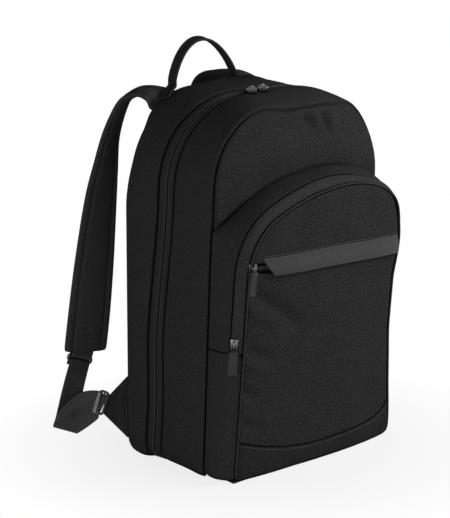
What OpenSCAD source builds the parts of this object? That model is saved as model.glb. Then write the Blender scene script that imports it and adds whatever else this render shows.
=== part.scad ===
// School backpack: two padded halves on one long zip, a domed front pocket with
// a flap-covered slip pocket, a top handle and two padded shoulder straps.
// X is the wearer's right seen from the front, +Y is the back, Z is up.

/* [Body] */
// overall width of the bag
body_w = 294; // [250:1:330]
// overall height of the bag without the handle
body_h = 440; // [390:1:500]
// radius of the two shoulders
top_r = 103; // [80:1:125]
// radius of the two bottom corners
bottom_r = 32; // [20:1:45]
// thickness of the padded fabric walls
wall = 3; // [2:0.2:5]
// rear face of the back panel
back_y = 86; // [70:1:105]
// thickness of the padded back panel
back_t = 10; // [6:0.5:16]
// thickness of the mesh pads on the back
pad_t = 8; // [4:0.5:14]
// plain border above and below the mesh pads
pad_edge = 47; // [30:1:90]
// thickness of the base panel
base_t = 3; // [2:0.2:5]
// front edge of the base panel
base_front_y = -80; // [-86:1:-60]
// front seam of the main body at the floor
seam_y = -40.6; // [-60:0.2:-20]
// forward lean of the front seam
seam_tilt = 2.6; // [0:0.1:6]
// thickness of the front panel
front_t = 4; // [3:0.2:6]
// width of the piping on the front seam
piping_w = 3.2; // [2:0.2:5]

/* [Main zip] */
// middle of the main zip at the floor
zip_y = 47.5; // [30:0.5:60]
// width of the main zip strip
zip_w = 25; // [18:0.5:34]
// forward lean of the main zip
zip_tilt = 5.3; // [0:0.1:8]
// thickness of every zip tape
tape_t = 1.2; // [0.8:0.1:2]
// how far the tape lies below the fabric
tape_in = 1; // [0.5:0.1:2]
// gap between the two rows of coil
coil_gap = 1.6; // [1.4:0.1:3]
// size of one coil row
coil_d = 2.2; // [1.5:0.1:3]
// distance of each main slider from the middle
slider_x = 9.5; // [9:0.5:30]

/* [Front pocket] */
// how far each side of the pocket lies inside the body's side
pocket_inset = 0; // [0:0.5:20]
// height of the pocket
pocket_h = 347; // [300:1:380]
// radius of the pocket shoulders
pocket_r = 80; // [60:1:100]
// radius of the pocket top
pocket_top_r = 265; // [200:1:400]
// front edge of the pocket at the floor
pocket_y = -83; // [-95:0.5:-75]
// forward lean of the pocket front
pocket_tilt = 5; // [2:0.1:8]
// how far the middle of the pocket stands proud
crown = 8; // [4:0.5:14]
// thickness of the pocket front
pocket_t = 3; // [2:0.2:5]
// fold line of the pocket lid
fold_z = 128; // [110:1:132]
// width of the pocket zip strip
pocket_zip_w = 13; // [11:0.5:18]
// depth of the zip behind the pocket edge
edge_d = 3.2; // [3:0.1:5]
// resting height of the pocket slider
pocket_slider_z = 172; // [172:1:190]
// height of the base band
band_z = 34; // [26:1:50]

/* [Slip pocket] */
// height of the slip zip at the middle
slip_z = 254; // [235:1:275]
// slope of the slip zip and flap
slip_slope = 3.5; // [0:0.1:5]
// height of the zip window
slip_h = 12; // [11:0.5:16]
// left end of the zip window from the pocket edge
slip_left_in = 0.5; // [0.5:0.5:30]
// right end of the zip window from the pocket edge
slip_right_in = 5.5; // [3:0.5:40]
// height of the flap
flap_h = 22; // [18:0.5:30]
// thickness of the flap
flap_t = 1.5; // [1:0.1:3]
// gap behind the flap
flap_off = 4.5; // [4:0.1:8]
// left end of the flap from the left end of the zip window
flap_left_in = 16; // [16:0.5:40]
// how far the flap runs past the right end of the zip window
flap_over = 5; // [0:0.5:5]
// height of the lining bag behind the slip zip
lining_h = 88; // [60:1:90]

/* [Handle] */
// middle of the handle behind the bag
handle_y = 97; // [94:0.5:105]
// outer radius of the handle arch
handle_r = 57; // [45:0.5:64]
// webbing width of the handle
handle_w = 14; // [10:0.5:18]
// webbing thickness of the handle
handle_t = 3; // [2:0.2:5]
// backward lean of the handle
handle_lean = 9; // [0:1:15]

/* [Straps] */
// width of the shoulder strap
strap_w = 68; // [56:1:72]
// thickness of the shoulder strap
strap_t = 9; // [6:0.5:12]
// width of the webbing
web_w = 30; // [25:1:32]
// thickness of the webbing
web_t = 1.8; // [1.2:0.1:2.6]
// outer width of the strap ring
ring_w = 40; // [38:1:48]
// bar size of the strap ring
ring_bar = 4; // [3:0.2:6]
// outer width of the adjuster
lock_w = 41; // [38:1:48]
// outer length of the adjuster
lock_l = 26; // [24:1:36]
// thickness of the adjuster
lock_t = 5; // [4:0.2:7]
// thickness of the corner tab
tab_t = 3; // [2:0.2:5]

/* [Sliders] */
// length of a slider
slider_l = 12; // [10:0.5:14]
// width of a slider
slider_w = 9.6; // [8:0.2:10.4]
// thickness of a slider plate
plate_t = 1.3; // [1:0.1:2]
// height of the pin post on the main sliders
main_pin_h = 3.4; // [3.2:0.1:4]
// height of the pin post on the pocket sliders
pocket_pin_h = 4.6; // [4.4:0.1:5]
// diameter of the slider pin
pin_d = 1.6; // [1.2:0.1:2.2]
// how far the main pulls lie turned forward from the zip, in degrees
pull_turn = 44; // [30:1:60]
// length of the rubber pulls
rubber_l = 34; // [26:0.5:42]
// width of the rubber pulls
rubber_w = 11; // [8:0.5:14]
// thickness of the rubber pulls
rubber_t = 3; // [2:0.1:4]

/* [Inside] */
// gap for a computer behind the sleeve
sleeve_gap = 14; // [8:0.5:18]
// thickness of the sleeve
sleeve_t = 4; // [2:0.2:6]
// height of the sleeve
sleeve_h = 285; // [200:1:330]

/* [Fits] */
// running clearance between moving pieces
fit = 0.3; // [0.2:0.05:0.6]
// clearance at the strap roots
root_fit = 0.9; // [0.7:0.05:0.95]
// glue line between sewn layers
skin = 0.2; // [0.1:0.05:0.3]

/* [Hidden] */
$fn = 40;
reach = 600;
half_w = body_w / 2;
flat_x = half_w - bottom_r;
pocket_half = half_w - pocket_inset;
arch_z = pocket_h - pocket_top_r;
side_z = arch_z + sqrt(pow(pocket_top_r - pocket_r, 2) - pow(pocket_half - pocket_r, 2));
side_a = acos((pocket_half - pocket_r) / (pocket_top_r - pocket_r));
crown_r = (pocket_half * pocket_half + crown * crown) / (2 * crown);
top_zip_y = zip_y - body_h * tan(zip_tilt);
tape_top = body_h - tape_in;
tape_lap = 5;
zip_in = 0.6;
edge_in = pocket_zip_w - zip_in;
edge_w = 3;
stack = tape_t + coil_d;
handle_z = body_h - 2;
pivot_z = body_h + handle_w / 2 + fit;
leg_x = sqrt(pow(handle_r - handle_t / 2, 2) - pow(pivot_z - handle_z, 2));
slip_rise = pocket_half * sin(slip_slope);
slip_left = slip_left_in - edge_half(slip_z + slip_rise + slip_h / 2 + tape_lap);
slip_right = edge_half(slip_z - slip_rise + slip_h / 2 + tape_lap) - slip_right_in;
flap_left = slip_left + flap_left_in;
flap_right = slip_right + flap_over;
flap_top = slip_h / 2 + tape_lap + 1.5;
slip_x = slip_left + slider_l / 2 + 1;
root_x = half_w - 54;
root_z = body_h - 19;
lock_y = back_y + 42;
lock_z = 51;
lock_turn = 36;
lock_bar_d = 4.2;
lock_bar_y = lock_bar_d / 2 - lock_l / 2;
tab_low = 15;
tab_high = 93;
tab_half = 17;
strap_end_z = 104;
strap_end_y = back_y + 93;
strap_end_x = half_w - 20;
hang = root_z - strap_end_z;

// half width of the pocket inside its edge at height z
function edge_half(z) = pocket_half - pocket_r
  + sqrt(pow(pocket_r - edge_in - edge_w, 2) - pow(max(z - side_z, 0), 2));

function arc_pts(cx, cz, r, a0, a1, n) =
  [for (i = [0:n]) let (a = a0 + (a1 - a0) * i / n) [cx + r * cos(a), cz + r * sin(a)]];

function body_pts(d) = concat(
  arc_pts(flat_x, bottom_r, bottom_r - d, -90, 0, 6),
  arc_pts(half_w - top_r, body_h - top_r, top_r - d, 0, 90, 12),
  arc_pts(top_r - half_w, body_h - top_r, top_r - d, 90, 180, 12),
  arc_pts(-flat_x, bottom_r, bottom_r - d, 180, 270, 6));

function pocket_pts(d) = concat(
  arc_pts(pocket_half - bottom_r, bottom_r, bottom_r - d, -90, 0, 6),
  arc_pts(pocket_half - pocket_r, side_z, pocket_r - d, 0, side_a, 9),
  arc_pts(0, arch_z, pocket_top_r - d, side_a, 180 - side_a, 8),
  arc_pts(pocket_r - pocket_half, side_z, pocket_r - d, 180 - side_a, 180, 9),
  arc_pts(bottom_r - pocket_half, bottom_r, bottom_r - d, 180, 270, 6));

module along_y(y0, y1)
  translate([0, y1, 0])
    rotate([90, 0, 0])
      linear_extrude(y1 - y0)
        children();

module front_of(y, tilt)
  translate([0, y, 0])
    rotate([tilt, 0, 0])
      translate([-reach, -2 * reach, -reach])
        cube([2 * reach, 2 * reach, 2 * reach]);

module above(z)
  translate([-reach, -reach, z])
    cube([2 * reach, 2 * reach, reach]);

module below(z)
  translate([-reach, -reach, z - reach])
    cube([2 * reach, 2 * reach, reach]);

module body_ring(d0, d1)
  along_y(-220, 220)
    difference() {
      polygon(body_pts(d0));
      polygon(body_pts(d1));
    }

module ring_between(d0, d1, ya, ta, yb, tb)
  intersection() {
    difference() {
      body_ring(d0, d1);
      front_of(ya, ta);
      base_slot();
    }
    front_of(yb, tb);
  }

module base_slot()
  translate([-flat_x - fit, -220, -1])
    cube([2 * (flat_x + fit), 440, 8 + base_t]);

module pocket_frame()
  translate([0, pocket_y, 0])
    rotate([pocket_tilt, 0, 0])
      children();

module crown_solid(off)
  translate([0, crown_r - crown, -20])
    cylinder(r = crown_r + off, h = reach, $fn = 180);

module crown_shell(d, z0, z1, off0, off1)
  intersection() {
    difference() {
      crown_solid(off1);
      crown_solid(off0);
    }
    along_y(-60, 30)
      polygon(pocket_pts(d));
    translate([-reach, -reach, z0])
      cube([2 * reach, 2 * reach, z1 - z0]);
  }

module slip_box(x0, x1, z0, z1)
  translate([0, 0, slip_z])
    rotate([0, slip_slope, 0])
      translate([x0, -60, z0])
        cube([x1 - x0, 90, z1 - z0]);

function unit(v) = v / norm(v);
function tangent(s, i) = unit(s[min(i + 1, len(s) - 1)][0] - s[max(i - 1, 0)][0]);
function across(s, i) = unit(s[i][1]);
function ribbon_pts(s, w, t) = [
  for (i = [0:len(s) - 1])
    let (c = s[i][0], u = across(s, i) * w / 2, n = unit(cross(tangent(s, i), across(s, i))) * t / 2)
      each [c + u + n, c - u + n, c - u - n, c + u - n]];
function ribbon_faces(m) = concat(
  [[0, 1, 2], [0, 2, 3]],
  [for (i = [0:m - 2], k = [0:1]) [4 * i + k, 4 * i + 4 + k, 4 * i + 5 + k]],
  [for (i = [0:m - 2], k = [0:1]) [4 * i + k, 4 * i + 5 + k, 4 * i + 1 + k]],
  [for (i = [0:m - 2], k = [2:3]) [4 * i + k, 4 * i + 4 + k, 4 * i + (k + 1) % 4]],
  [for (i = [0:m - 2], k = [2:3]) [4 * i + 4 + k, 4 * i + 4 + (k + 1) % 4, 4 * i + (k + 1) % 4]],
  [[4 * m - 1, 4 * m - 2, 4 * m - 3], [4 * m - 1, 4 * m - 3, 4 * m - 4]]);

module ribbon(s, w, t)
  polyhedron(points = ribbon_pts(s, w, t), faces = ribbon_faces(len(s)));

// the strap leaves the top seam, arches back and hangs behind the bag
function strap_path(more) = [
  [[-root_x, back_y + root_fit, root_z], [0.88, 0, 0.47]],
  [[-root_x, back_y + root_fit + 5, root_z], [0.88, 0, 0.47]],
  [[-root_x - 4, back_y + 20 + 0.3 * more, root_z + 11], [0.93, 0.08, 0.37]],
  [[-root_x - 8, back_y + 38 + 0.8 * more, root_z + 12], [0.9, 0.3, 0.29]],
  [[-root_x - 12, back_y + 54 + more, root_z - 5], [0.86, 0.47, 0.15]],
  [[-root_x - 16, back_y + 65 + more, root_z - 0.1 * hang], [0.87, 0.5, 0.02]],
  [[-root_x - 21, back_y + 74 + 0.8 * more, root_z - 0.26 * hang], [0.92, 0.38, -0.04]],
  [[-root_x - 26, back_y + 82 + 0.5 * more, root_z - 0.46 * hang], [0.97, 0.22, -0.05]],
  [[-root_x - 30, back_y + 88 + 0.2 * more, root_z - 0.66 * hang], [0.99, 0.1, -0.05]],
  [[-root_x - 33, back_y + 92, root_z - 0.87 * hang], [1, 0, -0.04]],
  [[-strap_end_x, strap_end_y, strap_end_z], [1, 0, 0]]];

// the webbing drops from the ring, turns at the floor and climbs to the adjuster
function web_path() = [
  [[-strap_end_x, strap_end_y, strap_end_z - 22], [1, 0, 0]],
  [[-strap_end_x, strap_end_y, strap_end_z - 27], [1, 0, 0]],
  [[-strap_end_x + 1, strap_end_y + 9, 56], [0.93, -0.36, 0]],
  [[-strap_end_x, strap_end_y + 21, 32], [0.82, -0.57, 0]],
  [[-strap_end_x - 3, strap_end_y + 28, 14], [0.75, -0.66, -0.05]],
  [[-strap_end_x - 5, strap_end_y + 26.5, 5.5], [0.73, -0.68, -0.06]],
  [[-strap_end_x - 9, strap_end_y + 21.5, 4.5], [0.71, -0.7, -0.07]],
  [[-strap_end_x - 12, strap_end_y + 17, 9], [0.68, -0.71, -0.16]],
  [[-half_w + 5.5, strap_end_y + 11, 17.5], [0.61, -0.72, -0.32]],
  [[-half_w + 1.5, strap_end_y + 2, 32], [0.38, -0.75, -0.55]],
  [[-half_w - 0.5, strap_end_y - 11.5, 44.5], [0.17, -0.51, -0.84]],
  [[-half_w - 0.7, strap_end_y - 23, 51.5], [0.05, -0.03, -1]],
  [[-half_w, strap_end_y - 31.5, 56.5], [0, 0.33, -0.94]],
  [lock_end(fit + 0.5), [0, sin(lock_turn), -cos(lock_turn)]]];

function lock_end(d) = [
  -half_w,
  lock_y + (lock_l / 2 + d) * cos(lock_turn),
  lock_z + (lock_l / 2 + d) * sin(lock_turn)];

// corner of the tab where it meets the bar of the adjuster
function tab_tip(s) = [
  lock_y + (lock_bar_y - lock_bar_d / 2 - fit - 0.1) * cos(lock_turn) - s * tab_half * sin(lock_turn),
  lock_z + (lock_bar_y - lock_bar_d / 2 - fit - 0.1) * sin(lock_turn) + s * tab_half * cos(lock_turn)];

module slider_body(inner, turn, pin_h) {
  // outer plate above the tape, thin post between the coils, inner plate below
  translate([-slider_l / 2, -slider_w / 2, fit])
    cube([slider_l, slider_w, plate_t]);
  translate([-2.5, -0.5, -stack - fit - plate_t])
    cube([5, 1, stack + 2 * fit + 2 * plate_t]);
  translate([-slider_l / 2, -0.5 - inner, -stack - fit - plate_t])
    cube([slider_l, 0.5 + slider_w / 2 - 0.5 + inner, plate_t]);
  rotate([0, 0, turn])
    for (s = [-1, 1])
      translate([-1.5, s * 3.4 - 0.6, fit])
        cube([3, 1.2, plate_t + pin_h]);
  rotate([0, 0, turn])
    translate([0, 0, fit + plate_t + pin_h - 1.2])
      rotate([90, 0, 0])
        cylinder(d = pin_d, h = 7.6, center = true, $fn = 20);
}

module pull_eye(w)
  difference() {
    union() {
      rotate([90, 0, 0])
        cylinder(d = pin_d + 2 * fit + 1.6, h = w, center = true, $fn = 24);
      translate([1.4, -w / 2, -0.9])
        cube([3.2, w, 1.8]);
    }
    rotate([90, 0, 0])
      cylinder(d = pin_d + 2 * fit, h = w + 2, center = true, $fn = 24);
  }

module rubber_pull() {
  pull_eye(4.6);
  translate([4.2 + rubber_w / 2, 0, -rubber_t / 2])
    cylinder(d = rubber_w, h = rubber_t, $fn = 36);
  translate([4.2 + rubber_w / 2, -rubber_w / 2, -rubber_t / 2])
    cube([rubber_l - 6 - rubber_w / 2, rubber_w, rubber_t]);
}

module main_slider_frame(s)
  translate([s * slider_x, top_zip_y + tape_in * tan(zip_tilt), tape_top])
    children();

module pocket_slider_frame()
  pocket_frame()
    translate([zip_in + pocket_zip_w / 2 - pocket_half, edge_d - tape_t, pocket_slider_z])
      rotate([90, 0, 0])
        rotate([0, 0, 90])
          children();

module slip_slider_frame()
  pocket_frame()
    translate([0, crown_r - crown, slip_z])
      rotate([0, slip_slope, 0])
        rotate([0, 0, asin(slip_x / (crown_r - pocket_t))])
          translate([0, pocket_t - crown_r, 0])
            rotate([90, 0, 0])
              children();

module back_panel()
  color("dimgray")
    along_y(back_y - back_t, back_y)
      polygon(body_pts(0));

module back_pads()
  color("gray")
    for (s = [-1, 1])
      translate([s * half_w * 0.45, back_y + pad_t / 2, body_h / 2 - 10])
        cube([half_w * 0.72, pad_t, body_h - 2 * pad_edge], center = true);

module back_gusset()
  color("dimgray")
    ring_between(0, wall, zip_y + zip_w / 2, zip_tilt, back_y - back_t, 0);

module base_panel()
  color("black")
    translate([-flat_x, base_front_y, 0])
      cube([2 * flat_x, back_y - back_t - base_front_y, base_t]);

module main_zip_half(y0, y1, c0, c1) {
  ring_between(tape_in, tape_in + tape_t, y0, zip_tilt, y1, zip_tilt);
  ring_between(tape_in + tape_t - 0.2, tape_in + stack, c0, zip_tilt, c1, zip_tilt);
}

module main_zip_rear()
  color("black")
    main_zip_half(zip_y + coil_gap / 2, zip_y + zip_w / 2,
      zip_y + coil_gap / 2, zip_y + coil_gap / 2 + coil_d);

module main_zip_front()
  color("black")
    main_zip_half(zip_y - zip_w / 2, zip_y - coil_gap / 2,
      zip_y - coil_gap / 2 - coil_d, zip_y - coil_gap / 2);

module laptop_sleeve()
  color("slategray")
    intersection() {
      along_y(back_y - back_t - sleeve_gap - sleeve_t, back_y - back_t - sleeve_gap)
        polygon(body_pts(wall));
      translate([-reach, -reach, base_t])
        cube([2 * reach, 2 * reach, sleeve_h]);
    }

module handle_feet()
  color("black")
    for (s = [-1, 1])
      translate([s * leg_x - handle_t / 2, back_y, body_h - 15])
        cube([handle_t, handle_y + handle_w / 2 - back_y, 14.6]);

module corner_tab()
  color("dimgray")
    translate([-half_w - tab_t / 2, 0, 0])
      rotate([90, 0, 90])
        linear_extrude(tab_t)
          polygon([[back_y, tab_low], [back_y, tab_high], tab_tip(1), tab_tip(-1)]);

module corner_tab_left() corner_tab();
module corner_tab_right() mirror([1, 0, 0]) corner_tab();

module front_gusset()
  color("dimgray")
    ring_between(0, wall, seam_y, seam_tilt, zip_y - zip_w / 2, zip_tilt);

module front_panel()
  color("gray")
    intersection() {
      difference() {
        along_y(-220, 220)
          polygon(body_pts(0));
        front_of(seam_y - front_t, seam_tilt);
        below(base_t + fit);
      }
      front_of(seam_y, seam_tilt);
    }

module front_piping()
  color("dimgray")
    intersection() {
      ring_between(-piping_w / 2, 0, seam_y - front_t / 2 - piping_w / 2, seam_tilt,
        seam_y - front_t / 2 + piping_w / 2, seam_tilt);
      above(bottom_r);
    }

module pocket_gusset()
  color("dimgray")
    intersection() {
      difference() {
        pocket_frame()
          intersection() {
            along_y(-30, 90)
              difference() {
                polygon(pocket_pts(0));
                polygon(pocket_pts(wall));
              }
            crown_solid(-pocket_t - skin);
          }
        pocket_frame()
          translate([-reach, edge_d - reach, fold_z])
            cube([2 * reach, reach, reach]);
        base_slot();
      }
      front_of(seam_y - front_t, seam_tilt);
    }

module pocket_front_lower()
  color("gray")
    pocket_frame()
      crown_shell(0, band_z, fold_z - fit, -pocket_t, 0);

module base_band()
  color("black")
    pocket_frame()
      crown_shell(0, 2, band_z, -pocket_t, 0);

module pocket_zip_half(d0, d1)
  pocket_frame()
    intersection() {
      along_y(edge_d - tape_t, edge_d)
        difference() {
          polygon(pocket_pts(d0));
          polygon(pocket_pts(d1));
        }
      above(fold_z + fit);
    }

module pocket_zip_outer()
  color("black")
    pocket_zip_half(zip_in, zip_in + pocket_zip_w / 2 - coil_gap / 2);

module pocket_zip_inner()
  color("black")
    pocket_zip_half(zip_in + pocket_zip_w / 2 + coil_gap / 2, edge_in + edge_w);

module pocket_front_upper()
  color("gray")
    pocket_frame()
      difference() {
        crown_shell(edge_in, fold_z + fit, pocket_h + 20, -pocket_t, 0);
        slip_box(slip_left, slip_right, -slip_h / 2, slip_h / 2);
      }

module pocket_edge()
  color("dimgray")
    pocket_frame()
      intersection() {
        along_y(-20, edge_d - tape_t)
          difference() {
            polygon(pocket_pts(edge_in));
            polygon(pocket_pts(edge_in + edge_w));
          }
        crown_solid(-pocket_t - skin);
        above(fold_z + fit);
      }

module slip_zip()
  color("black")
    pocket_frame()
      for (s = [0, 1])
        intersection() {
          difference() {
            crown_solid(-pocket_t - skin);
            crown_solid(-pocket_t - skin - tape_t);
          }
          slip_box(slip_left + fit, slip_right + 2,
            s == 0 ? coil_gap / 2 : -slip_h / 2 - tape_lap,
            s == 0 ? slip_h / 2 + tape_lap : -coil_gap / 2);
          front_of(30, 0);
        }

module lining_shell(x0, x1, off0, off1, z0, z1)
  intersection() {
    difference() {
      crown_solid(off1);
      crown_solid(off0);
    }
    slip_box(x0, x1, z0, z1);
    front_of(30, 0);
  }

module slip_lining()
  color("slategray")
    pocket_frame()
      difference() {
        lining_shell(slip_left + 6, slip_right - 2, -pocket_t - 8, -pocket_t - tape_t - 2 * skin,
          -lining_h, slip_h / 2 + tape_lap);
        lining_shell(slip_left, slip_right + 4, -pocket_t - 6, -pocket_t + 2,
          -lining_h - 5, slip_h / 2 + tape_lap - 2);
      }

module flap_root()
  color("gray")
    pocket_frame()
      intersection() {
        difference() {
          crown_solid(flap_off - fit);
          crown_solid(skin);
        }
        slip_box(flap_left, flap_right, slip_h / 2 + tape_lap, flap_top);
        front_of(30, 0);
      }

module zip_flap()
  color("silver")
    pocket_frame()
      difference() {
        intersection() {
          difference() {
            crown_solid(flap_off + flap_t);
            crown_solid(flap_off);
          }
          slip_box(flap_left, flap_right, flap_top - flap_h, flap_top);
          front_of(30, 0);
        }
        translate([flap_left, -60, slip_z + flap_top + 5.5])
          rotate([0, -38, 0])
            translate([-60, 0, -60])
              cube([60, 90, 80]);
      }

module top_handle()
  color("black")
    translate([0, handle_y, pivot_z])
      rotate([-handle_lean, 0, 0])
        union() {
          intersection() {
            translate([0, handle_w / 2, handle_z - pivot_z])
              rotate([90, 0, 0])
                difference() {
                  cylinder(r = handle_r, h = handle_w, $fn = 72);
                  translate([0, 0, -1])
                    cylinder(r = handle_r - handle_t, h = handle_w + 2, $fn = 72);
                }
            above(0);
          }
          for (s = [-1, 1])
            translate([s * leg_x, 0, 0])
              rotate([0, 90, 0])
                cylinder(d = handle_w, h = handle_t, center = true);
        }

module strap_pad_left()
  color("dimgray")
    ribbon(strap_path(0), strap_w, strap_t);

module strap_pad_right()
  color("dimgray")
    mirror([1, 0, 0])
      ribbon(strap_path(26), strap_w, strap_t);

module strap_loop()
  color("black")
    difference() {
      translate([-strap_end_x - web_w / 2, strap_end_y - 4.5, strap_end_z - 10])
        cube([web_w, 9, 9.3]);
      translate([-strap_end_x, strap_end_y, strap_end_z - 5.5])
        rotate([0, 90, 0])
          cylinder(d = ring_bar + 2 * fit, h = web_w + 2, center = true, $fn = 28);
    }

module strap_loop_left() strap_loop();
module strap_loop_right() mirror([1, 0, 0]) strap_loop();

module strap_ring()
  color("black")
    translate([-strap_end_x, strap_end_y, strap_end_z - 12.5]) {
      for (s = [-1, 1])
        translate([0, 0, s * 7])
          rotate([0, 90, 0])
            cylinder(d = ring_bar, h = ring_w - ring_bar, center = true, $fn = 28);
      for (s = [-1, 1])
        translate([s * (ring_w - ring_bar) / 2, 0, 0])
          cube([ring_bar, ring_bar, 14 + ring_bar], center = true);
    }

module strap_ring_left() strap_ring();
module strap_ring_right() mirror([1, 0, 0]) strap_ring();

module strap_webbing()
  color("black")
    ribbon(web_path(), web_w, web_t);

module strap_webbing_left() strap_webbing();
module strap_webbing_right() mirror([1, 0, 0]) strap_webbing();

module adjuster()
  color("black")
    translate([-half_w, lock_y, lock_z])
      rotate([lock_turn, 0, 0])
        union() {
          translate([0, lock_bar_y, 0])
            cylinder(d = lock_bar_d, h = lock_w, center = true, $fn = 28);
          difference() {
            translate([-lock_t / 2, lock_bar_y, -lock_w / 2])
              cube([lock_t, lock_l / 2 - lock_bar_y, lock_w]);
            for (s = [-1, 1])
              translate([-lock_t, s * 5.8 - 3, -web_w / 2 - 1])
                cube([2 * lock_t, 6, web_w + 2]);
            translate([-lock_t, lock_bar_y - 1, -web_w / 2 - 1])
              cube([2 * lock_t, 2, web_w + 2]);
          }
        }

module adjuster_left() adjuster();
module adjuster_right() mirror([1, 0, 0]) adjuster();

module main_slider(s)
  color("silver")
    main_slider_frame(s)
      rotate([0, 0, 180])
        slider_body(0, pull_turn, main_pin_h);

module main_slider_left() main_slider(-1);
module main_slider_right() main_slider(1);

module main_pull(s)
  color("gray")
    main_slider_frame(s)
      translate([0, 0, fit + plate_t + main_pin_h - 1.2])
        rotate([0, 0, 180 + pull_turn])
          rubber_pull();

module main_pull_left() main_pull(-1);
module main_pull_right() main_pull(1);

module pocket_slider()
  color("silver")
    pocket_slider_frame()
      rotate([0, 0, 180])
        slider_body(0, 0, pocket_pin_h);

module pocket_pull()
  color("gray")
    pocket_slider_frame()
      translate([0, 0, fit + plate_t + pocket_pin_h - 1.2])
        rotate([0, 0, 180])
          rubber_pull();

module slip_slider()
  color("silver")
    slip_slider_frame()
      slider_body(slider_w / 2 - 0.5, 90, pocket_pin_h);

module slip_pull()
  color("gray")
    slip_slider_frame()
      translate([0, 0, fit + plate_t + pocket_pin_h - 1.2])
        rotate([0, 0, -90])
          rubber_pull();

back_panel();
back_pads();
back_gusset();
base_panel();
main_zip_rear();
laptop_sleeve();
handle_feet();
corner_tab_left();
corner_tab_right();
front_gusset();
front_panel();
front_piping();
main_zip_front();
pocket_gusset();
pocket_front_lower();
base_band();
pocket_zip_outer();
pocket_front_upper();
pocket_edge();
pocket_zip_inner();
slip_zip();
slip_lining();
flap_root();
zip_flap();
top_handle();
strap_pad_left();
strap_pad_right();
strap_loop_left();
strap_loop_right();
strap_ring_left();
strap_ring_right();
strap_webbing_left();
strap_webbing_right();
adjuster_left();
adjuster_right();
main_slider_left();
main_slider_right();
main_pull_left();
main_pull_right();
pocket_slider();
pocket_pull();
slip_slider();
slip_pull();
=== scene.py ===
import math
import bmesh
import bpy
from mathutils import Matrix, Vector, noise


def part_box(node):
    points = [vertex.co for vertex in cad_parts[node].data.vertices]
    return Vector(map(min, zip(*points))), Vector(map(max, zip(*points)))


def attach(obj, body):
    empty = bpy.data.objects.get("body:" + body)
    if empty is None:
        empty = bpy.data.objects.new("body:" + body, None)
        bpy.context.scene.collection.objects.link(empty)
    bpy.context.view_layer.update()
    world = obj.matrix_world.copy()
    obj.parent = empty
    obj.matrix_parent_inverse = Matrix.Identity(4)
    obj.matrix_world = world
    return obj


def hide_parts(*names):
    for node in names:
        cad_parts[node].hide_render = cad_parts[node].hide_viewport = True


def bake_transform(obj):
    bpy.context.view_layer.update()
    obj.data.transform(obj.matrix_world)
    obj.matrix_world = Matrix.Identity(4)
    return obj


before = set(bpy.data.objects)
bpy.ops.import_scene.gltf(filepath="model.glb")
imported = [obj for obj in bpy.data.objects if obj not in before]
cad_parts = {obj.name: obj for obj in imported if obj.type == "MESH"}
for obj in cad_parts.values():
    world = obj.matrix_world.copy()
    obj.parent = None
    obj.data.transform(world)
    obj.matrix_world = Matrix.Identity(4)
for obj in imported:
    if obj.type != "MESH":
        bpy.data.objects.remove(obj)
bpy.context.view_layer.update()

# The camera stands well back, a little above the bag, where its left side and front show alike.
# Its long lens keeps upright edges nearly parallel.
mm = 0.001
scene = bpy.context.scene
camera_at = Vector((-1982, -1831.7, 900.6)) * mm
camera_to = Vector((-30.15, 31.6, 234.1)) * mm
camera = bpy.data.objects.new("camera", bpy.data.cameras.new("camera"))
camera.data.lens = 158.8
camera.data.sensor_width = 36
camera.location = camera_at
camera.rotation_mode = "QUATERNION"
camera.rotation_quaternion = (camera_to - camera_at).to_track_quat("-Z", "Y")
scene.collection.objects.link(camera)
scene.camera = camera
scene.view_settings.view_transform = "Standard"


# The stage is a pale floor that turns to plain white away from the bag, under a white surround.
# Three soft lamps light it: a near one on the front right, a low one on the left, one behind.
def lamp(name, place, aim, size, power):
    light = bpy.data.lights.new(name, "AREA")
    light.shape = "DISK"
    light.size = size
    light.energy = power
    holder = bpy.data.objects.new(name, light)
    holder.location = place
    holder.rotation_mode = "QUATERNION"
    holder.rotation_quaternion = (Vector(aim) - Vector(place)).to_track_quat("-Z", "Y")
    scene.collection.objects.link(holder)


def seen_directly(nodes, links):
    """One where the eye, a reflection or a clear body looks straight at the surface."""
    path = nodes.new("ShaderNodeLightPath")
    first = nodes.new("ShaderNodeMath")
    first.operation = "MAXIMUM"
    links.new(path.outputs["Is Camera Ray"], first.inputs[0])
    links.new(path.outputs["Is Glossy Ray"], first.inputs[1])
    both = nodes.new("ShaderNodeMath")
    both.operation = "MAXIMUM"
    links.new(first.outputs[0], both.inputs[0])
    links.new(path.outputs["Is Transmission Ray"], both.inputs[1])
    return both.outputs[0]


lamp("front_right", (0.56, -0.64, 0.8), (0, -0.05, 0.26), 0.45, 6.6)
lamp("left", (-1.85, -1.3, 0.35), (0, 0, 0.22), 0.9, 13)
lamp("behind", (-1.4, 2.3, 0.8), (0, 0, 0.3), 1.0, 5)

world = bpy.data.worlds.new("surround")
world.use_nodes = True
sky = world.node_tree.nodes
wires = world.node_tree.links
sky.clear()
ambient = sky.new("ShaderNodeBackground")
ambient.inputs["Strength"].default_value = 0.13
white = sky.new("ShaderNodeBackground")
white.inputs["Color"].default_value = (1, 1, 1, 1)
mixed = sky.new("ShaderNodeMixShader")
out = sky.new("ShaderNodeOutputWorld")
wires.new(seen_directly(sky, wires), mixed.inputs[0])
wires.new(ambient.outputs[0], mixed.inputs[1])
wires.new(white.outputs[0], mixed.inputs[2])
wires.new(mixed.outputs[0], out.inputs[0])
scene.world = world

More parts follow.
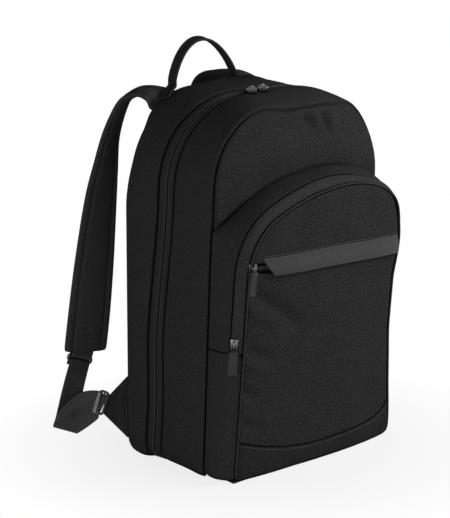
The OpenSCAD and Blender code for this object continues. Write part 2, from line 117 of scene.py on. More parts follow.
bm = bmesh.new()
bmesh.ops.create_grid(bm, x_segments=1, y_segments=1, size=6)
floor = bpy.data.objects.new("floor", bpy.data.meshes.new("floor"))
bm.to_mesh(floor.data)
bm.free()
scene.collection.objects.link(floor)
fade_start, fade_end, white_share = 0.15, 0.36, 0.82
paper = bpy.data.materials.new("pale_floor")
paper.use_nodes = True
nodes, links = paper.node_tree.nodes, paper.node_tree.links
coat = nodes["Principled BSDF"]
coat.inputs["Base Color"].default_value = (0.86, 0.86, 0.86, 1)
coat.inputs["Roughness"].default_value = 0.9
glow = nodes.new("ShaderNodeEmission")
coords = nodes.new("ShaderNodeTexCoord")
away = nodes.new("ShaderNodeVectorMath")
away.operation = "LENGTH"
links.new(coords.outputs["Object"], away.inputs[0])
fade = nodes.new("ShaderNodeMapRange")
fade.inputs["From Min"].default_value = fade_start
fade.inputs["From Max"].default_value = fade_end
fade.inputs["To Min"].default_value = white_share
links.new(away.outputs["Value"], fade.inputs["Value"])
seen = nodes.new("ShaderNodeMath")
seen.operation = "MULTIPLY"
links.new(fade.outputs[0], seen.inputs[0])
links.new(seen_directly(nodes, links), seen.inputs[1])
mixed = nodes.new("ShaderNodeMixShader")
links.new(seen.outputs[0], mixed.inputs[0])
links.new(coat.outputs[0], mixed.inputs[1])
links.new(glow.outputs[0], mixed.inputs[2])
links.new(mixed.outputs[0], nodes["Material Output"].inputs[0])
floor.data.materials.append(paper)


# The rear gusset is one long strip of padded cloth round the sides and top of the bag.
# It is sewn to the back panel behind and to the main zip in front, seams turned in.
body_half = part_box("back_panel")[1].x
body_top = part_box("back_panel")[1].z
back_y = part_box("back_panel")[1].y
quarter = math.pi / 2


def smooth(low, high, value):
    t = min(max((value - low) / (high - low), 0), 1)
    return t * t * (3 - 2 * t)


def eased(points, value):
    """A smooth curve through (place, height) pairs, level at each of them."""
    for (a, low), (b, high) in zip(points, points[1:]):
        if value <= b:
            return low + (high - low) * smooth(a, b, value)
    return points[-1][1]


class Outline:
    """A round-shouldered form on a flat base, and the path round it from the base's left end."""

    def __init__(self, half, top, shoulder, corner, crown):
        self.half, self.top, self.crown = half, top, crown
        self.shoulder, self.corner = shoulder, corner
        self.crown_half = 100 * mm
        self.flat = half - corner
        self.side = top - shoulder - corner
        self.length = 2 * ((corner + shoulder) * quarter + self.side + half - shoulder)

    def swell(self, x):
        """The rise of the top over its middle."""
        return self.crown * max(1 - (x / self.crown_half) ** 2, 0)

    def at(self, t, inset=0.0):
        """The point t along the path, moved in by inset."""
        if t > self.length / 2:
            x, z = self.at(self.length - t, inset)
            return -x, z
        if t < self.corner * quarter:
            a, r = t / self.corner, self.corner - inset
            return -self.flat - r * math.sin(a), self.corner - r * math.cos(a)
        t -= self.corner * quarter
        if t < self.side:
            return inset - self.half, self.corner + t
        t -= self.side
        x, z = self.shoulder - self.half, self.top - self.shoulder
        if t < self.shoulder * quarter:
            a, r = t / self.shoulder, self.shoulder - inset
            x, z = x - r * math.cos(a), z + r * math.sin(a)
            return x, z + self.swell(x)
        x += t - self.shoulder * quarter
        return x, self.top - inset + self.swell(x)

    def inside(self, x, z):
        """How far a point lies inside the outline."""
        x, z = abs(x), z - (self.swell(x) if z > self.top - self.shoulder else 0)
        if z > self.top - self.shoulder and x > self.half - self.shoulder:
            return self.shoulder - math.hypot(x - self.half + self.shoulder, z - self.top + self.shoulder)
        if z < self.corner and x > self.flat:
            return self.corner - math.hypot(x - self.flat, z - self.corner)
        return min(self.half - x, z, self.top - z)


shoulder, bag_corner, top_crown = 103 * mm, 26 * mm, 3 * mm
bag_form = Outline(body_half, body_top, shoulder, bag_corner, top_crown)


def body_rim(part, inset=0.0):
    """The bag's outline behind the main zip; part runs from 0 to 1 along it."""
    return bag_form.at(part * bag_form.length, inset)


def zip_line(z):
    """The middle of the main zip; it wanders a little as the soft sides settle."""
    wander = eased([(0, -5), (0.06, -4.4), (0.17, 3), (0.31, -1), (0.41, 4.5), (0.44, 2)], z)
    return (47.5 + wander) * mm - z * math.tan(math.radians(5.3))


def rear_seam(z):
    """The seam beside the back panel is drawn forward at the shoulders."""
    return back_y - 1 * mm - 8 * mm * smooth(0.31, 0.37, z) * (1 - smooth(0.4, 0.425, z))


def turned_in(edge, depth, reach):
    """How far cloth lies below its panel at this distance from a seam that is turned in."""
    t = min(max(edge / reach, 0), 1)
    return depth * (1 - math.sqrt(1 - (1 - t) ** 2))


def ripple(x, y, z, size, amount, seed=0):
    return noise.noise(Vector((x / size + seed, y / size, z / size))) * amount


def rows_between(width, edges, step):
    """Row places from 0 to width: close together at both edges and evenly spaced between."""
    inner = width - 2 * edges[-1]
    count = max(int(round(inner / step)), 1)
    middle = [edges[-1] + inner * k / count for k in range(1, count)]
    return list(edges) + middle + [width - e for e in reversed(edges)]


def cloth(columns, rows, place):
    """A sheet of quads whose corners lie where place(column, row) says, with UVs in metres."""
    bm = bmesh.new()
    uv = bm.loops.layers.uv.new("UVMap")
    bmesh.ops.create_grid(bm, x_segments=columns, y_segments=rows, size=0.5)
    spot = {}
    for v in bm.verts:
        key = round((v.co.x + 0.5) * columns), round((v.co.y + 0.5) * rows)
        spot[v] = key
    where = {key: Vector(place(*key)) for key in spot.values()}
    middle = rows // 2
    along = [0.0]
    for i in range(columns):
        along.append(along[-1] + (where[i + 1, middle] - where[i, middle]).length)
    across = {}
    for i in range(columns + 1):
        across[i, middle] = 0.0
        for j in range(middle, rows):
            across[i, j + 1] = across[i, j] + (where[i, j + 1] - where[i, j]).length
        for j in range(middle, 0, -1):
            across[i, j - 1] = across[i, j] - (where[i, j] - where[i, j - 1]).length
    for f in bm.faces:
        f.smooth = True
        for loop in f.loops:
            i, j = spot[loop.vert]
            loop[uv].uv = along[i], across[i, j]
    for v in bm.verts:
        v.co = where[spot[v]]
    return bm


def piece(name, bm, material, slot, *nodes):
    """Turns a mesh into a piece of the bag that stands for these solids."""
    made = bpy.data.objects.new(name, bpy.data.meshes.new(name))
    bm.to_mesh(made.data)
    bm.free()
    scene.collection.objects.link(made)
    made.data.materials.append(material)
    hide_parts(*nodes)
    return made


def face_out(bm, centre):
    """Turns the faces of a sheet away from a point inside the bag."""
    bm.normal_update()
    side = sum(f.normal.dot(f.calc_center_median() - centre) * f.calc_area() for f in bm.faces)
    if side < 0:
        bmesh.ops.reverse_faces(bm, faces=bm.faces)


def soften(made):
    soft = made.modifiers.new("soft", "SUBSURF")
    soft.levels = soft.render_levels = 1


def thicken(made, wall):
    """Gives a sheet its wall, inwards, and rounds it off."""
    solid = made.modifiers.new("wall", "SOLIDIFY")
    solid.thickness = wall
    solid.offset = -1
    soften(made)


def sewn_sheet(name, columns, rows, place, material, wall, slot, *nodes):
    """A sheet of cloth as a finished piece, faced outwards and given its wall."""
    bm = cloth(columns, rows, place)
    face_out(bm, bag_middle)
    made = piece(name, bm, material, slot, *nodes)
    thicken(made, wall)
    return made


def node_group(name, inputs, outputs):
    """A new group of shader nodes with these sockets and kinds, and its first and last node."""
    group = bpy.data.node_groups.new(name, "ShaderNodeTree")
    for way, sockets in (("INPUT", inputs), ("OUTPUT", outputs)):
        for label, kind in sockets.items():
            group.interface.new_socket(label, in_out=way, socket_type="NodeSocket" + kind)
    return group, group.nodes.new("NodeGroupInput"), group.nodes.new("NodeGroupOutput")


def math_node(group, operation, a, b=None):
    node = group.nodes.new("ShaderNodeMath")
    node.operation = operation
    for socket, value in zip(node.inputs, (a, b)):
        if value is None:
            continue
        if isinstance(value, (int, float)):
            socket.default_value = value
        else:
            group.links.new(value, socket)
    return node.outputs[0]


def two_tone(group, share, start, end):
    """Puts out a colour between a group's dark and light tones."""
    blend = group.nodes.new("ShaderNodeMix")
    blend.data_type = "RGBA"
    group.links.new(share, blend.inputs["Factor"])
    group.links.new(start.outputs["Dark"], blend.inputs["A"])
    group.links.new(start.outputs["Light"], blend.inputs["B"])
    group.links.new(blend.outputs["Result"], end.inputs["Color"])


# plain weave: crossing threads, slubs a few threads long and slow fading over the panel
weave, start, end = node_group(
    "plain_weave", {"Vector": "Vector", "Threads": "Float", "Dark": "Color", "Light": "Color"},
    {"Color": "Color", "Height": "Float", "Roughness": "Float"})
split = weave.nodes.new("ShaderNodeSeparateXYZ")
weave.links.new(start.outputs["Vector"], split.inputs[0])
turn = math_node(weave, "MULTIPLY", start.outputs["Threads"], math.pi)
warp = math_node(weave, "SINE", math_node(weave, "MULTIPLY", split.outputs["X"], turn))
weft = math_node(weave, "SINE", math_node(weave, "MULTIPLY", split.outputs["Y"], turn))
over = math_node(weave, "MULTIPLY", warp, weft)
slub = weave.nodes.new("ShaderNodeTexNoise")
slub.inputs["Scale"].default_value = 420
slub.inputs["Detail"].default_value = 2
weave.links.new(start.outputs["Vector"], slub.inputs["Vector"])
fading = weave.nodes.new("ShaderNodeTexNoise")
fading.inputs["Scale"].default_value = 26
fading.inputs["Detail"].default_value = 4
weave.links.new(start.outputs["Vector"], fading.inputs["Vector"])
shade = math_node(weave, "ADD", math_node(weave, "MULTIPLY", over, 0.16),
                  math_node(weave, "MULTIPLY", slub.outputs["Fac"], 2.6))
shade = math_node(weave, "ADD", shade, math_node(weave, "MULTIPLY", fading.outputs["Fac"], 0.4))
shade = math_node(weave, "SUBTRACT", shade, 1.0)
two_tone(weave, shade, start, end)
height = math_node(weave, "ADD", over, math_node(weave, "MULTIPLY", slub.outputs["Fac"], 1.6))
weave.links.new(height, end.inputs["Height"])
rough = math_node(weave, "ADD", math_node(weave, "MULTIPLY", slub.outputs["Fac"], 0.2), 0.66)
weave.links.new(rough, end.inputs["Roughness"])

# painted seam shade: a colour darkened deep in seams and folds by ambient occlusion, painted shade where
# little light gets in
painted_seam_shade, start, end = node_group("painted_seam_shade", {"Color": "Color", "Reach": "Float"}, {"Color": "Color"})
# painted shade: the occlusion of nearby surfaces darkens the colour
near = painted_seam_shade.nodes.new("ShaderNodeAmbientOcclusion")
near.samples = 8
painted_seam_shade.links.new(start.outputs["Reach"], near.inputs["Distance"])
openness = painted_seam_shade.nodes.new("ShaderNodeMapRange")
openness.inputs["From Min"].default_value = 0.3
openness.inputs["From Max"].default_value = 0.85
openness.inputs["To Min"].default_value = 0.04
painted_seam_shade.links.new(near.outputs["AO"], openness.inputs["Value"])
shade = painted_seam_shade.nodes.new("ShaderNodeMix")
shade.data_type = "RGBA"
shade.blend_type = "MULTIPLY"
shade.inputs["Factor"].default_value = 1
painted_seam_shade.links.new(start.outputs["Color"], shade.inputs["A"])
painted_seam_shade.links.new(openness.outputs["Result"], shade.inputs["B"])
painted_seam_shade.links.new(shade.outputs["Result"], end.inputs["Color"])


def finish(name, settings):
    """A new material with these shader settings, its node tree and its shader."""
    made = bpy.data.materials.new(name)
    made.use_nodes = True
    shader = made.node_tree.nodes["Principled BSDF"]
    for socket, value in settings.items():
        shader.inputs[socket].default_value = value
    return made, made.node_tree, shader


def pattern(tree, group, coords, values):
    """A group of nodes set into a material on its UV or Object coordinates, with its own values."""
    where = tree.nodes.new("ShaderNodeTexCoord")
    node = tree.nodes.new("ShaderNodeGroup")
    node.node_tree = group
    for socket, value in values.items():
        node.inputs[socket].default_value = value
    tree.links.new(where.outputs[coords], node.inputs["Vector"])
    return node


def emboss(tree, height, shader, strength, depth):
    """Gives a surface the relief of a height."""
    bump = tree.nodes.new("ShaderNodeBump")
    bump.inputs["Strength"].default_value = strength
    bump.inputs["Distance"].default_value = depth
    tree.links.new(height, bump.inputs["Height"])
    tree.links.new(bump.outputs[0], shader.inputs["Normal"])


def paint_seam_shade(tree, colour, shader, reach):
    """Colours a surface, with painted shade darkening it in its seams."""
    node = tree.nodes.new("ShaderNodeGroup")
    node.node_tree = painted_seam_shade
    node.inputs["Reach"].default_value = reach
    tree.links.new(colour, node.inputs["Color"])
    tree.links.new(node.outputs["Color"], shader.inputs["Base Color"])


def woven(name, dark, light, threads=900, relief=0.35):
    """A matt woven cloth between two tones of black."""
    made, tree, shader = finish(name, {"Specular IOR Level": 0})
    threading = pattern(tree, weave, "UV", {"Threads": threads, "Dark": (*dark, 1), "Light": (*light, 1)})
    # the cloth's colour carries painted shade in its seams and folds
    paint_seam_shade(tree, threading.outputs["Color"], shader, 7 * mm)
    tree.links.new(threading.outputs["Roughness"], shader.inputs["Roughness"])
    emboss(tree, threading.outputs["Height"], shader, relief, 0.25 * mm)
    return made


body_cloth = woven("body_cloth", (0.027, 0.027, 0.0275), (0.046, 0.046, 0.047))
bag_middle = Vector((0, 10 * mm, 220 * mm))
seam_edges = [0, 0.7 * mm, 1.6 * mm, 2.8 * mm, 4.6 * mm, 7.5 * mm]
wall = 3 * mm
rim_columns = 230
zip_half = 12.6 * mm
slit = 0.8 * mm


def gusset_strip(front_y, front_rim, rear_y, crown, rows, seed, crease=None, flange=0):
    """A strip round the outline from one seam line to another; flange adds a turned-in front edge."""
    shares = rows_between(1, [e / (62 * mm) for e in seam_edges], 1 / rows)

    def place(i, j):
        part = i / rim_columns
        low, high = front_y(front_rim(part)[1]) + slit, rear_y(body_rim(part)[1]) - slit
        share = shares[max(j - flange, 0)]
        y = low + (high - low) * share
        edge = min(y - low, high - y)
        x, z = body_rim(part)
        full = crown * math.sin(math.pi * share) ** 0.6
        soft = ripple(x, y, z, 55 * mm, 1.6 * mm, seed) * smooth(0, 14 * mm, edge)
        inset = turned_in(edge, 6 * mm, 2.6 * mm) - full - soft
        if crease:
            inset += crease(x, y, z) * smooth(0, 9 * mm, edge)
        if j < flange:
            inset, y = 10 * mm, low + 0.8 * mm
        roll = (1 - share) ** 2
        x, z = Vector(body_rim(part, inset)).lerp(Vector(front_rim(part, inset)), roll)
        return x, y, z

    bm = cloth(rim_columns, len(shares) - 1 + flange, place)
    face_out(bm, bag_middle)
    return bm


bm = gusset_strip(lambda z: zip_line(z) + zip_half, body_rim, rear_seam, crown=2.2 * mm, rows=9, seed=3)
rear_gusset = piece("rear_gusset", bm, body_cloth, "body_fabric", "back_gusset")
thicken(rear_gusset, wall)
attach(rear_gusset, "back")

# The back panel is a firm padded board of cloth that closes the rear of the bag.
# Its rim is turned in against the rear gusset and its face swells a little between the seams.
def patch_between(bottom, right, top, left):
    """Fills four joined edge curves with a smooth sheet; each curve runs from 0 to 1."""
    def at(u, v):
        b, t, l, r = (Vector(p) for p in (bottom(u), top(u), left(v), right(v)))
        c00, c10, c01, c11 = (Vector(p) for p in (bottom(0), bottom(1), top(0), top(1)))
        flat = c00 * (1 - u) * (1 - v) + c10 * u * (1 - v) + c01 * (1 - u) * v + c11 * u * v
        return b * (1 - v) + t * v + l * (1 - u) + r * u - flat
    return at


def form_patch(form, rim, inset):
    """An outline, filled; the patch has its corners in the middle of the round ones."""
    low = form.corner * quarter / 2
    high = form.corner * quarter + form.side + form.shoulder * quarter / 2

    def path(t):
        return rim(t / form.length, inset)

    def under(u):
        t = low - u * (2 * low + 2 * form.flat)
        if t >= 0:
            return path(t)
        if t > -2 * form.flat:
            return -form.flat - t, inset
        return path(form.length + t + 2 * form.flat)

    return patch_between(under, lambda v: path(form.length - low - (high - low) * v),
                         lambda u: path(high + (form.length - 2 * high) * u),
                         lambda v: path(low + (high - low) * v))


def panel(patch, wide, tall, step, depth):
    """A face of cloth over a filled outline; depth(x, z) gives the y of each point."""
    u_rows = rows_between(1, [e / wide for e in seam_edges], step / wide)
    v_rows = rows_between(1, [e / tall for e in seam_edges], step / tall)

    def place(i, j):
        x, z = patch(u_rows[i], v_rows[j])
        return x, depth(x, z), z

    bm = cloth(len(u_rows) - 1, len(v_rows) - 1, place)
    face_out(bm, bag_middle)
    return bm


def back_face(x, z):
    edge = bag_form.inside(x, z)
    swell = 2.2 * mm * smooth(0, 40 * mm, edge)
    swell += ripple(x, 0, z, 70 * mm, 0.8 * mm) * smooth(0, 20 * mm, edge)
    drawn = (back_y - 1 * mm - rear_seam(z)) * (1 - smooth(0, 45 * mm, edge))
    return back_y - 1.2 * mm - turned_in(edge, 3.5 * mm, 5 * mm) + swell * 0.5 - drawn


back_patch = form_patch(bag_form, body_rim, 0.4 * mm)
bm = panel(back_patch, 2 * body_half, body_top, 9 * mm, back_face)
back_board = piece("back_board", bm, body_cloth, "body_fabric", "back_panel")
back_wall = 8 * mm
thicken(back_board, back_wall)
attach(back_board, "back")

# Two foam cushions covered in spacer mesh lie along the back, sewn down all round. They swell
# between their sewn edges, and the air holes of the mesh are set in close rows.
holes, start, end = node_group("spacer_mesh", {"Vector": "Vector"}, {"Mask": "Float"})
cells = holes.nodes.new("ShaderNodeTexVoronoi")
cells.inputs["Scale"].default_value = 330
cells.inputs["Randomness"].default_value = 0.15
cells.voronoi_dimensions = "2D"
split = holes.nodes.new("ShaderNodeSeparateXYZ")
flat = holes.nodes.new("ShaderNodeCombineXYZ")
holes.links.new(start.outputs["Vector"], split.inputs[0])
holes.links.new(split.outputs["X"], flat.inputs["X"])
holes.links.new(split.outputs["Z"], flat.inputs["Y"])
holes.links.new(flat.outputs[0], cells.inputs["Vector"])
holes.links.new(math_node(holes, "MULTIPLY", cells.outputs["Distance"], 1.7), end.inputs["Mask"])

mesh_cloth, tree, shader = finish(
    "mesh_cloth", {"Roughness": 0.85, "Specular IOR Level": 0.05, "Sheen Weight": 0.05})
cells = pattern(tree, holes, "Object", {})
tint = tree.nodes.new("ShaderNodeValToRGB")
tint.color_ramp.elements[0].color = (0.006, 0.006, 0.006, 1)
tint.color_ramp.elements[0].position = 0.3
tint.color_ramp.elements[1].color = (0.03, 0.03, 0.031, 1)
tint.color_ramp.elements[1].position = 0.55
tree.links.new(cells.outputs["Mask"], tint.inputs["Fac"])
tree.links.new(tint.outputs["Color"], shader.inputs["Base Color"])
emboss(tree, cells.outputs["Mask"], shader, 0.6, 0.6 * mm)


def add_mesh(bm, other):
    """Joins another mesh into this one."""
    mesh = bpy.data.meshes.new("joined")
    other.to_mesh(mesh)
    other.free()
    bm.from_mesh(mesh)
    bpy.data.meshes.remove(mesh)


pads_low, pads_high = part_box("back_pads")
pad_size = Vector((0.72 * body_half, pads_high.y - pads_low.y, pads_high.z - pads_low.z))
pad_apart, pad_sunk, pad_corner, pad_edge = 0.45 * body_half, 3.5 * mm, 22 * mm, 3.6 * mm
pad_y, pad_z = pads_low.y + pad_size.y / 2 - pad_sunk, (pads_low.z + pads_high.z) / 2
bm = bmesh.new()
for side in (-1, 1):
    cushion = bmesh.new()
    made = bmesh.ops.create_cube(cushion, size=1)["verts"]
    bmesh.ops.scale(cushion, vec=(pad_size.x, pad_size.y + 1 * mm, pad_size.z), verts=made)
    upright = [e for e in cushion.edges if abs((e.verts[0].co - e.verts[1].co).y) > 1 * mm]
    bmesh.ops.bevel(cushion, geom=upright, offset=pad_corner, segments=6, profile=0.5, affect="EDGES")
    rims = [e for e in cushion.edges if e.calc_face_angle(0) > 1]
    bmesh.ops.bevel(cushion, geom=rims, offset=pad_edge, segments=3, profile=0.5, affect="EDGES")
    bmesh.ops.translate(cushion, verts=cushion.verts, vec=(side * pad_apart, pad_y, pad_z))
    add_mesh(bm, cushion)
back_pads = piece("back_cushions", bm, mesh_cloth, "mesh_pad", "back_pads")


def as_it_stands(made):
    """A mesh with the modifiers of an object applied."""
    return bpy.data.meshes.new_from_object(made.evaluated_get(bpy.context.evaluated_depsgraph_get()))


def puff_out(made, pressure, cap, sewn, frames=20):
    """Blows up a cushion as cloth; points below sewn in y stay, the others move no more than cap."""
    even = made.modifiers.new("even", "REMESH")
    even.mode = "VOXEL"
    even.voxel_size = 4 * mm
    even.use_smooth_shade = True
    steps = made.modifiers.new("steps", "SMOOTH")
    steps.iterations = 8
    start = as_it_stands(made)
    start.materials.clear()
    start.materials.append(made.data.materials[0])
    made.modifiers.clear()
    made.data = start
    held = made.vertex_groups.new(name="sewn")
    held.add([v.index for v in start.vertices if v.co.y < sewn], 1, "REPLACE")
    air = made.modifiers.new("air", "CLOTH")
    air.settings.use_pressure = True
    air.settings.uniform_pressure_force = pressure
    air.settings.effector_weights.gravity = 0
    air.settings.vertex_group_mass = "sewn"
    air.point_cache.frame_end = frames
    for step in range(1, frames + 1):
        scene.frame_set(step)
    swollen = as_it_stands(made)
    made.modifiers.remove(air)
    made.vertex_groups.clear()
    for v, w in zip(start.vertices, swollen.vertices):
        way = w.co - v.co
        v.co += way * cap / (cap + way.length)
    bpy.data.meshes.remove(swollen)
    scene.frame_set(1)


puff_out(back_pads, pressure=4, cap=4.5 * mm, sewn=pads_low.y + 1 * mm)
soften(back_pads)
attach(back_pads, "back")

# The base is a flat cloth panel stiffened with board, sewn to the gussets along both sides.
# Its front part turns up with the front half when the bag is opened.
base_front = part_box("base_panel")[0].y
front_corner = 9 * mm
front_form = Outline(body_half, body_top, shoulder, front_corner, top_crown)
base_rows = rows_between(1, [e / (160 * mm) for e in seam_edges], 0.05)
base_columns = rows_between(1, [e / (232 * mm) for e in seam_edges], 0.05)


def base_place(i, j):
    low, high = base_front - 6 * mm, rear_seam(0)
    y = low + base_rows[j] * (high - low)
    half = bag_form.flat + (front_form.flat - bag_form.flat) * (1 - base_rows[j]) ** 2 + 1 * mm
    x = (base_columns[i] * 2 - 1) * half
    edge = min(half - abs(x), y - low, high - y)
    return x, y, 0.4 * mm + turned_in(edge, 2.5 * mm, 3.5 * mm)


base_board = sewn_sheet("base_board", len(base_columns) - 1, len(base_rows) - 1, base_place,
                        body_cloth, wall, "body_fabric", "base_panel")
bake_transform(base_board)

# The front gusset is the same cloth between the main zip and the front seam. Its lower part
# stays with the base when the bag is opened, so it bends from the back half to the front half.
def front_sag(x, z):
    """How far the front seam sags inside the outline: most along the top, none at the left."""
    sag = 13 * smooth(-100 * mm, -5 * mm, x) - 11 * smooth(60 * mm, 105 * mm, x)
    return sag * mm * smooth(0.6 * body_top, 0.85 * body_top, z)


def face_rim(part, inset=0.0):
    """The outline of the front seam."""
    t = part * front_form.length
    return front_form.at(t, inset + front_sag(*front_form.at(t)))


def front_seam(z):
    pulled_back = 5.5 * mm * smooth(0.33, 0.4, z)
    return -43 * mm - z * math.tan(math.radians(2.6)) + pulled_back


def gusset_crease(x, y, z):
    """A fold across the left side, level with the top of the pocket."""
    line = (326 - 0.004 * (y / mm + 60) ** 2 + 0.12 * (y / mm + 60)) * mm
    left = 1 - smooth(-0.14, -0.12, x)
    along = smooth(-75 * mm, -45 * mm, y) * (1 - smooth(-25 * mm, 0, y))
    valley = math.exp(-((z - line) / (4 * mm)) ** 2)
    ridge = 0.8 * math.exp(-((z - line - 9 * mm) / (6 * mm)) ** 2)
    return 2.2 * mm * (valley - ridge) * left * along


bm = gusset_strip(front_seam, face_rim, lambda z: zip_line(z) - zip_half, crown=1.8 * mm, rows=22, seed=11,
                  crease=gusset_crease, flange=1)
front_gusset = piece("front_gusset", bm, body_cloth, "body_fabric", "front_gusset")
thicken(front_gusset, wall)
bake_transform(front_gusset)


# The main zip runs round the bag between the gussets: two woven tapes with a nylon coil
# sewn along each, its stitches showing on the outside. It lies a little below the cloth.
def row_of(bm, count, pitch):
    """Repeats what is in the mesh along X."""
    made = 1
    while made < count:
        copied = bmesh.ops.duplicate(bm, geom=bm.verts[:] + bm.edges[:] + bm.faces[:])["geom"]
        moved = [g for g in copied if isinstance(g, bmesh.types.BMVert)]
        bmesh.ops.translate(bm, vec=(made * pitch, 0, 0), verts=moved)
        made *= 2
    extra = [v for v in bm.verts if v.co.x > (count - 0.5) * pitch]
    bmesh.ops.delete(bm, geom=extra, context="VERTS")


def bead_row(length, pitch, size):
    """A row of small rounded beads along X, as long as asked, ready to be laid along a path."""
    bm = bmesh.new()
    made = bmesh.ops.create_uvsphere(bm, u_segments=6, v_segments=5, radius=0.5)["verts"]
    poles_along = Vector((0, 0, 1)).rotation_difference(Vector((1, 0, 0))).to_matrix()
    bmesh.ops.rotate(bm, verts=made, cent=(0, 0, 0), matrix=poles_along)
    bmesh.ops.scale(bm, verts=made, vec=size)
    bmesh.ops.translate(bm, verts=made, vec=(pitch / 2, 0, 0))
    for f in bm.faces:
        f.smooth = True
    row_of(bm, max(int(length / pitch), 1), pitch)
    return bm


def lay(bm, place):
    """Moves each point of a mesh to where place(along, across, up) says."""
    for v in bm.verts:
        v.co = place(*v.co)
    return bm


# ribbed tape: ribs across the tape, slanted to and fro where its weave is twilled, and a little fuzz
ribbed, start, end = node_group(
    "ribbed_tape", {"Vector": "Vector", "Ribs": "Float", "Slant": "Float", "Dark": "Color", "Light": "Color"},
    {"Color": "Color", "Height": "Float"})
split = ribbed.nodes.new("ShaderNodeSeparateXYZ")
ribbed.links.new(start.outputs["Vector"], split.inputs[0])
folded = math_node(ribbed, "PINGPONG", split.outputs["Y"], 2.5 * mm)
slant = math_node(ribbed, "MULTIPLY", folded, start.outputs["Slant"])
along = math_node(ribbed, "ADD", split.outputs["X"], slant)
turn = math_node(ribbed, "MULTIPLY", start.outputs["Ribs"], 2 * math.pi)
wave = math_node(ribbed, "SINE", math_node(ribbed, "MULTIPLY", along, turn))
fuzz = ribbed.nodes.new("ShaderNodeTexNoise")
fuzz.inputs["Scale"].default_value = 900
ribbed.links.new(start.outputs["Vector"], fuzz.inputs["Vector"])
level = math_node(ribbed, "ADD", math_node(ribbed, "MULTIPLY", wave, 0.3), fuzz.outputs["Fac"])
two_tone(ribbed, level, start, end)
ribbed.links.new(level, end.inputs["Height"])


def tape(name, dark, light, ribs, slant, rough, relief, shine=0.0, sheen=0.0):
    """A close-woven tape with ribs across it."""
    made, tree, shader = finish(
        name, {"Roughness": rough, "Specular IOR Level": shine,
               "Sheen Weight": sheen, "Sheen Roughness": 0.4})
    ribbing = pattern(
        tree, ribbed, "UV", {"Ribs": ribs, "Slant": slant, "Dark": (*dark, 1), "Light": (*light, 1)})
    # the tape's colour carries painted shade in its seams and folds
    paint_seam_shade(tree, ribbing.outputs["Color"], shader, 5 * mm)
    emboss(tree, ribbing.outputs["Height"], shader, relief, 0.3 * mm)
    return made


# mottling: small cloudy marks between two tones, as on moulded and cast things
mottle, start, end = node_group(
    "mottle", {"Vector": "Vector", "Scale": "Float", "Detail": "Float", "Dark": "Color", "Light": "Color"},
    {"Color": "Color", "Marks": "Float"})
cloud = mottle.nodes.new("ShaderNodeTexNoise")
for socket in ("Vector", "Scale", "Detail"):
    mottle.links.new(start.outputs[socket], cloud.inputs[socket])
two_tone(mottle, cloud.outputs["Fac"], start, end)
mottle.links.new(cloud.outputs["Fac"], end.inputs["Marks"])


def mottled(name, dark, light, scale, detail, settings):
    """A moulded or cast finish: its material, node tree and shader, and its marks."""
    made, tree, shader = finish(name, settings)
    clouds = pattern(
        tree, mottle, "Object", {"Scale": scale, "Detail": detail, "Dark": (*dark, 1), "Light": (*light, 1)})
    tree.links.new(clouds.outputs["Color"], shader.inputs["Base Color"])
    return made, tree, shader, clouds.outputs["Marks"]


zip_tape = tape("zip_tape", (0.02, 0.02, 0.02), (0.052, 0.052, 0.053),
                ribs=650, slant=1.0, rough=0.62, relief=0.5)
nylon = mottled("nylon_coil", (0.01, 0.01, 0.01), (0.028, 0.028, 0.029), 500, 2, {"Roughness": 0.35})[0]
coil_shift = 2.4 * mm
tape_rows = [at * mm for at in (0.3, 0.7, 1.6, 2.6, 4.0, 6.0, 8.5, 10.2, 11.0, 11.6, 12.0)]
tape_sink = [at * mm for at in (2.4, 1.2, 0.5, 0.2, 0.3, 0.0, 0.0, 0.4, 1.2, 2.6, 6.0)]
tooth_pitch, tooth = 1.7 * mm, (1.25 * mm, 3.0 * mm, 1.8 * mm)
zip_stitch_pitch, zip_stitch = 3.4 * mm, (2.4 * mm, 0.8 * mm, 0.7 * mm)
zip_wall = 0.9 * mm


def main_zip(name, side, node):
    """One half of the main zip: its tape, and the coil with the stitches that hold it."""
    width = 1.2 if side > 0 else 0.8

    def place(i, j):
        x, z = body_rim(i / rim_columns, tape_sink[j])
        return x, zip_line(body_rim(i / rim_columns)[1]) - coil_shift + side * width * tape_rows[j], z

    def beside(away, depth):
        def laid(s, across, up):
            x, z = bag_form.at(s, depth - up)
            return x, zip_line(bag_form.at(s)[1]) - coil_shift + side * (away + across), z
        return laid

    band = sewn_sheet(name, rim_columns, len(tape_rows) - 1, place, zip_tape, zip_wall, "zip_tape", node)
    bm = lay(bead_row(bag_form.length, tooth_pitch, tooth), beside(1.7 * mm, 2.9 * mm))
    stitches = bead_row(bag_form.length, zip_stitch_pitch, zip_stitch)
    add_mesh(bm, lay(stitches, beside(2.9 * mm, 0.25 * mm)))
    coil = piece(name + "_coil", bm, nylon, "zip_tape", node)
    return band, coil


for made in main_zip("main_zip_rear", 1, "main_zip_rear"):
    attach(made, "back")
for made in main_zip("main_zip_front", -1, "main_zip_front"):
    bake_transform(made)

# The computer sleeve is a lined, lightly padded sheet sewn into the side seams and the base.
# Its top edge is bound with tape; it shows when the bag is open.
lining_cloth = woven("lining_cloth", (0.02, 0.02, 0.021), (0.05, 0.05, 0.052), threads=1400, relief=0.2)
sleeve_low, sleeve_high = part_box("laptop_sleeve")
sleeve_y = (sleeve_low.y + sleeve_high.y) / 2
sleeve_steps = 50


def sleeve_place(i, j):
    z = sleeve_low.z + 0.5 * mm + (sleeve_high.z - sleeve_low.z - 0.5 * mm) * j / sleeve_steps
    half = sleeve_high.x - 1 * mm
    if z < bag_form.corner:
        half = bag_form.flat + math.sqrt(max((bag_form.corner - 4 * mm) ** 2 - (bag_form.corner - z) ** 2, 0))
    x = half * (2 * i / sleeve_steps - 1)
    hem = 1.2 * mm if z > sleeve_high.z - 12 * mm else 0
    return x, sleeve_y + ripple(x, 0, z, 80 * mm, 1.5 * mm) - hem, z


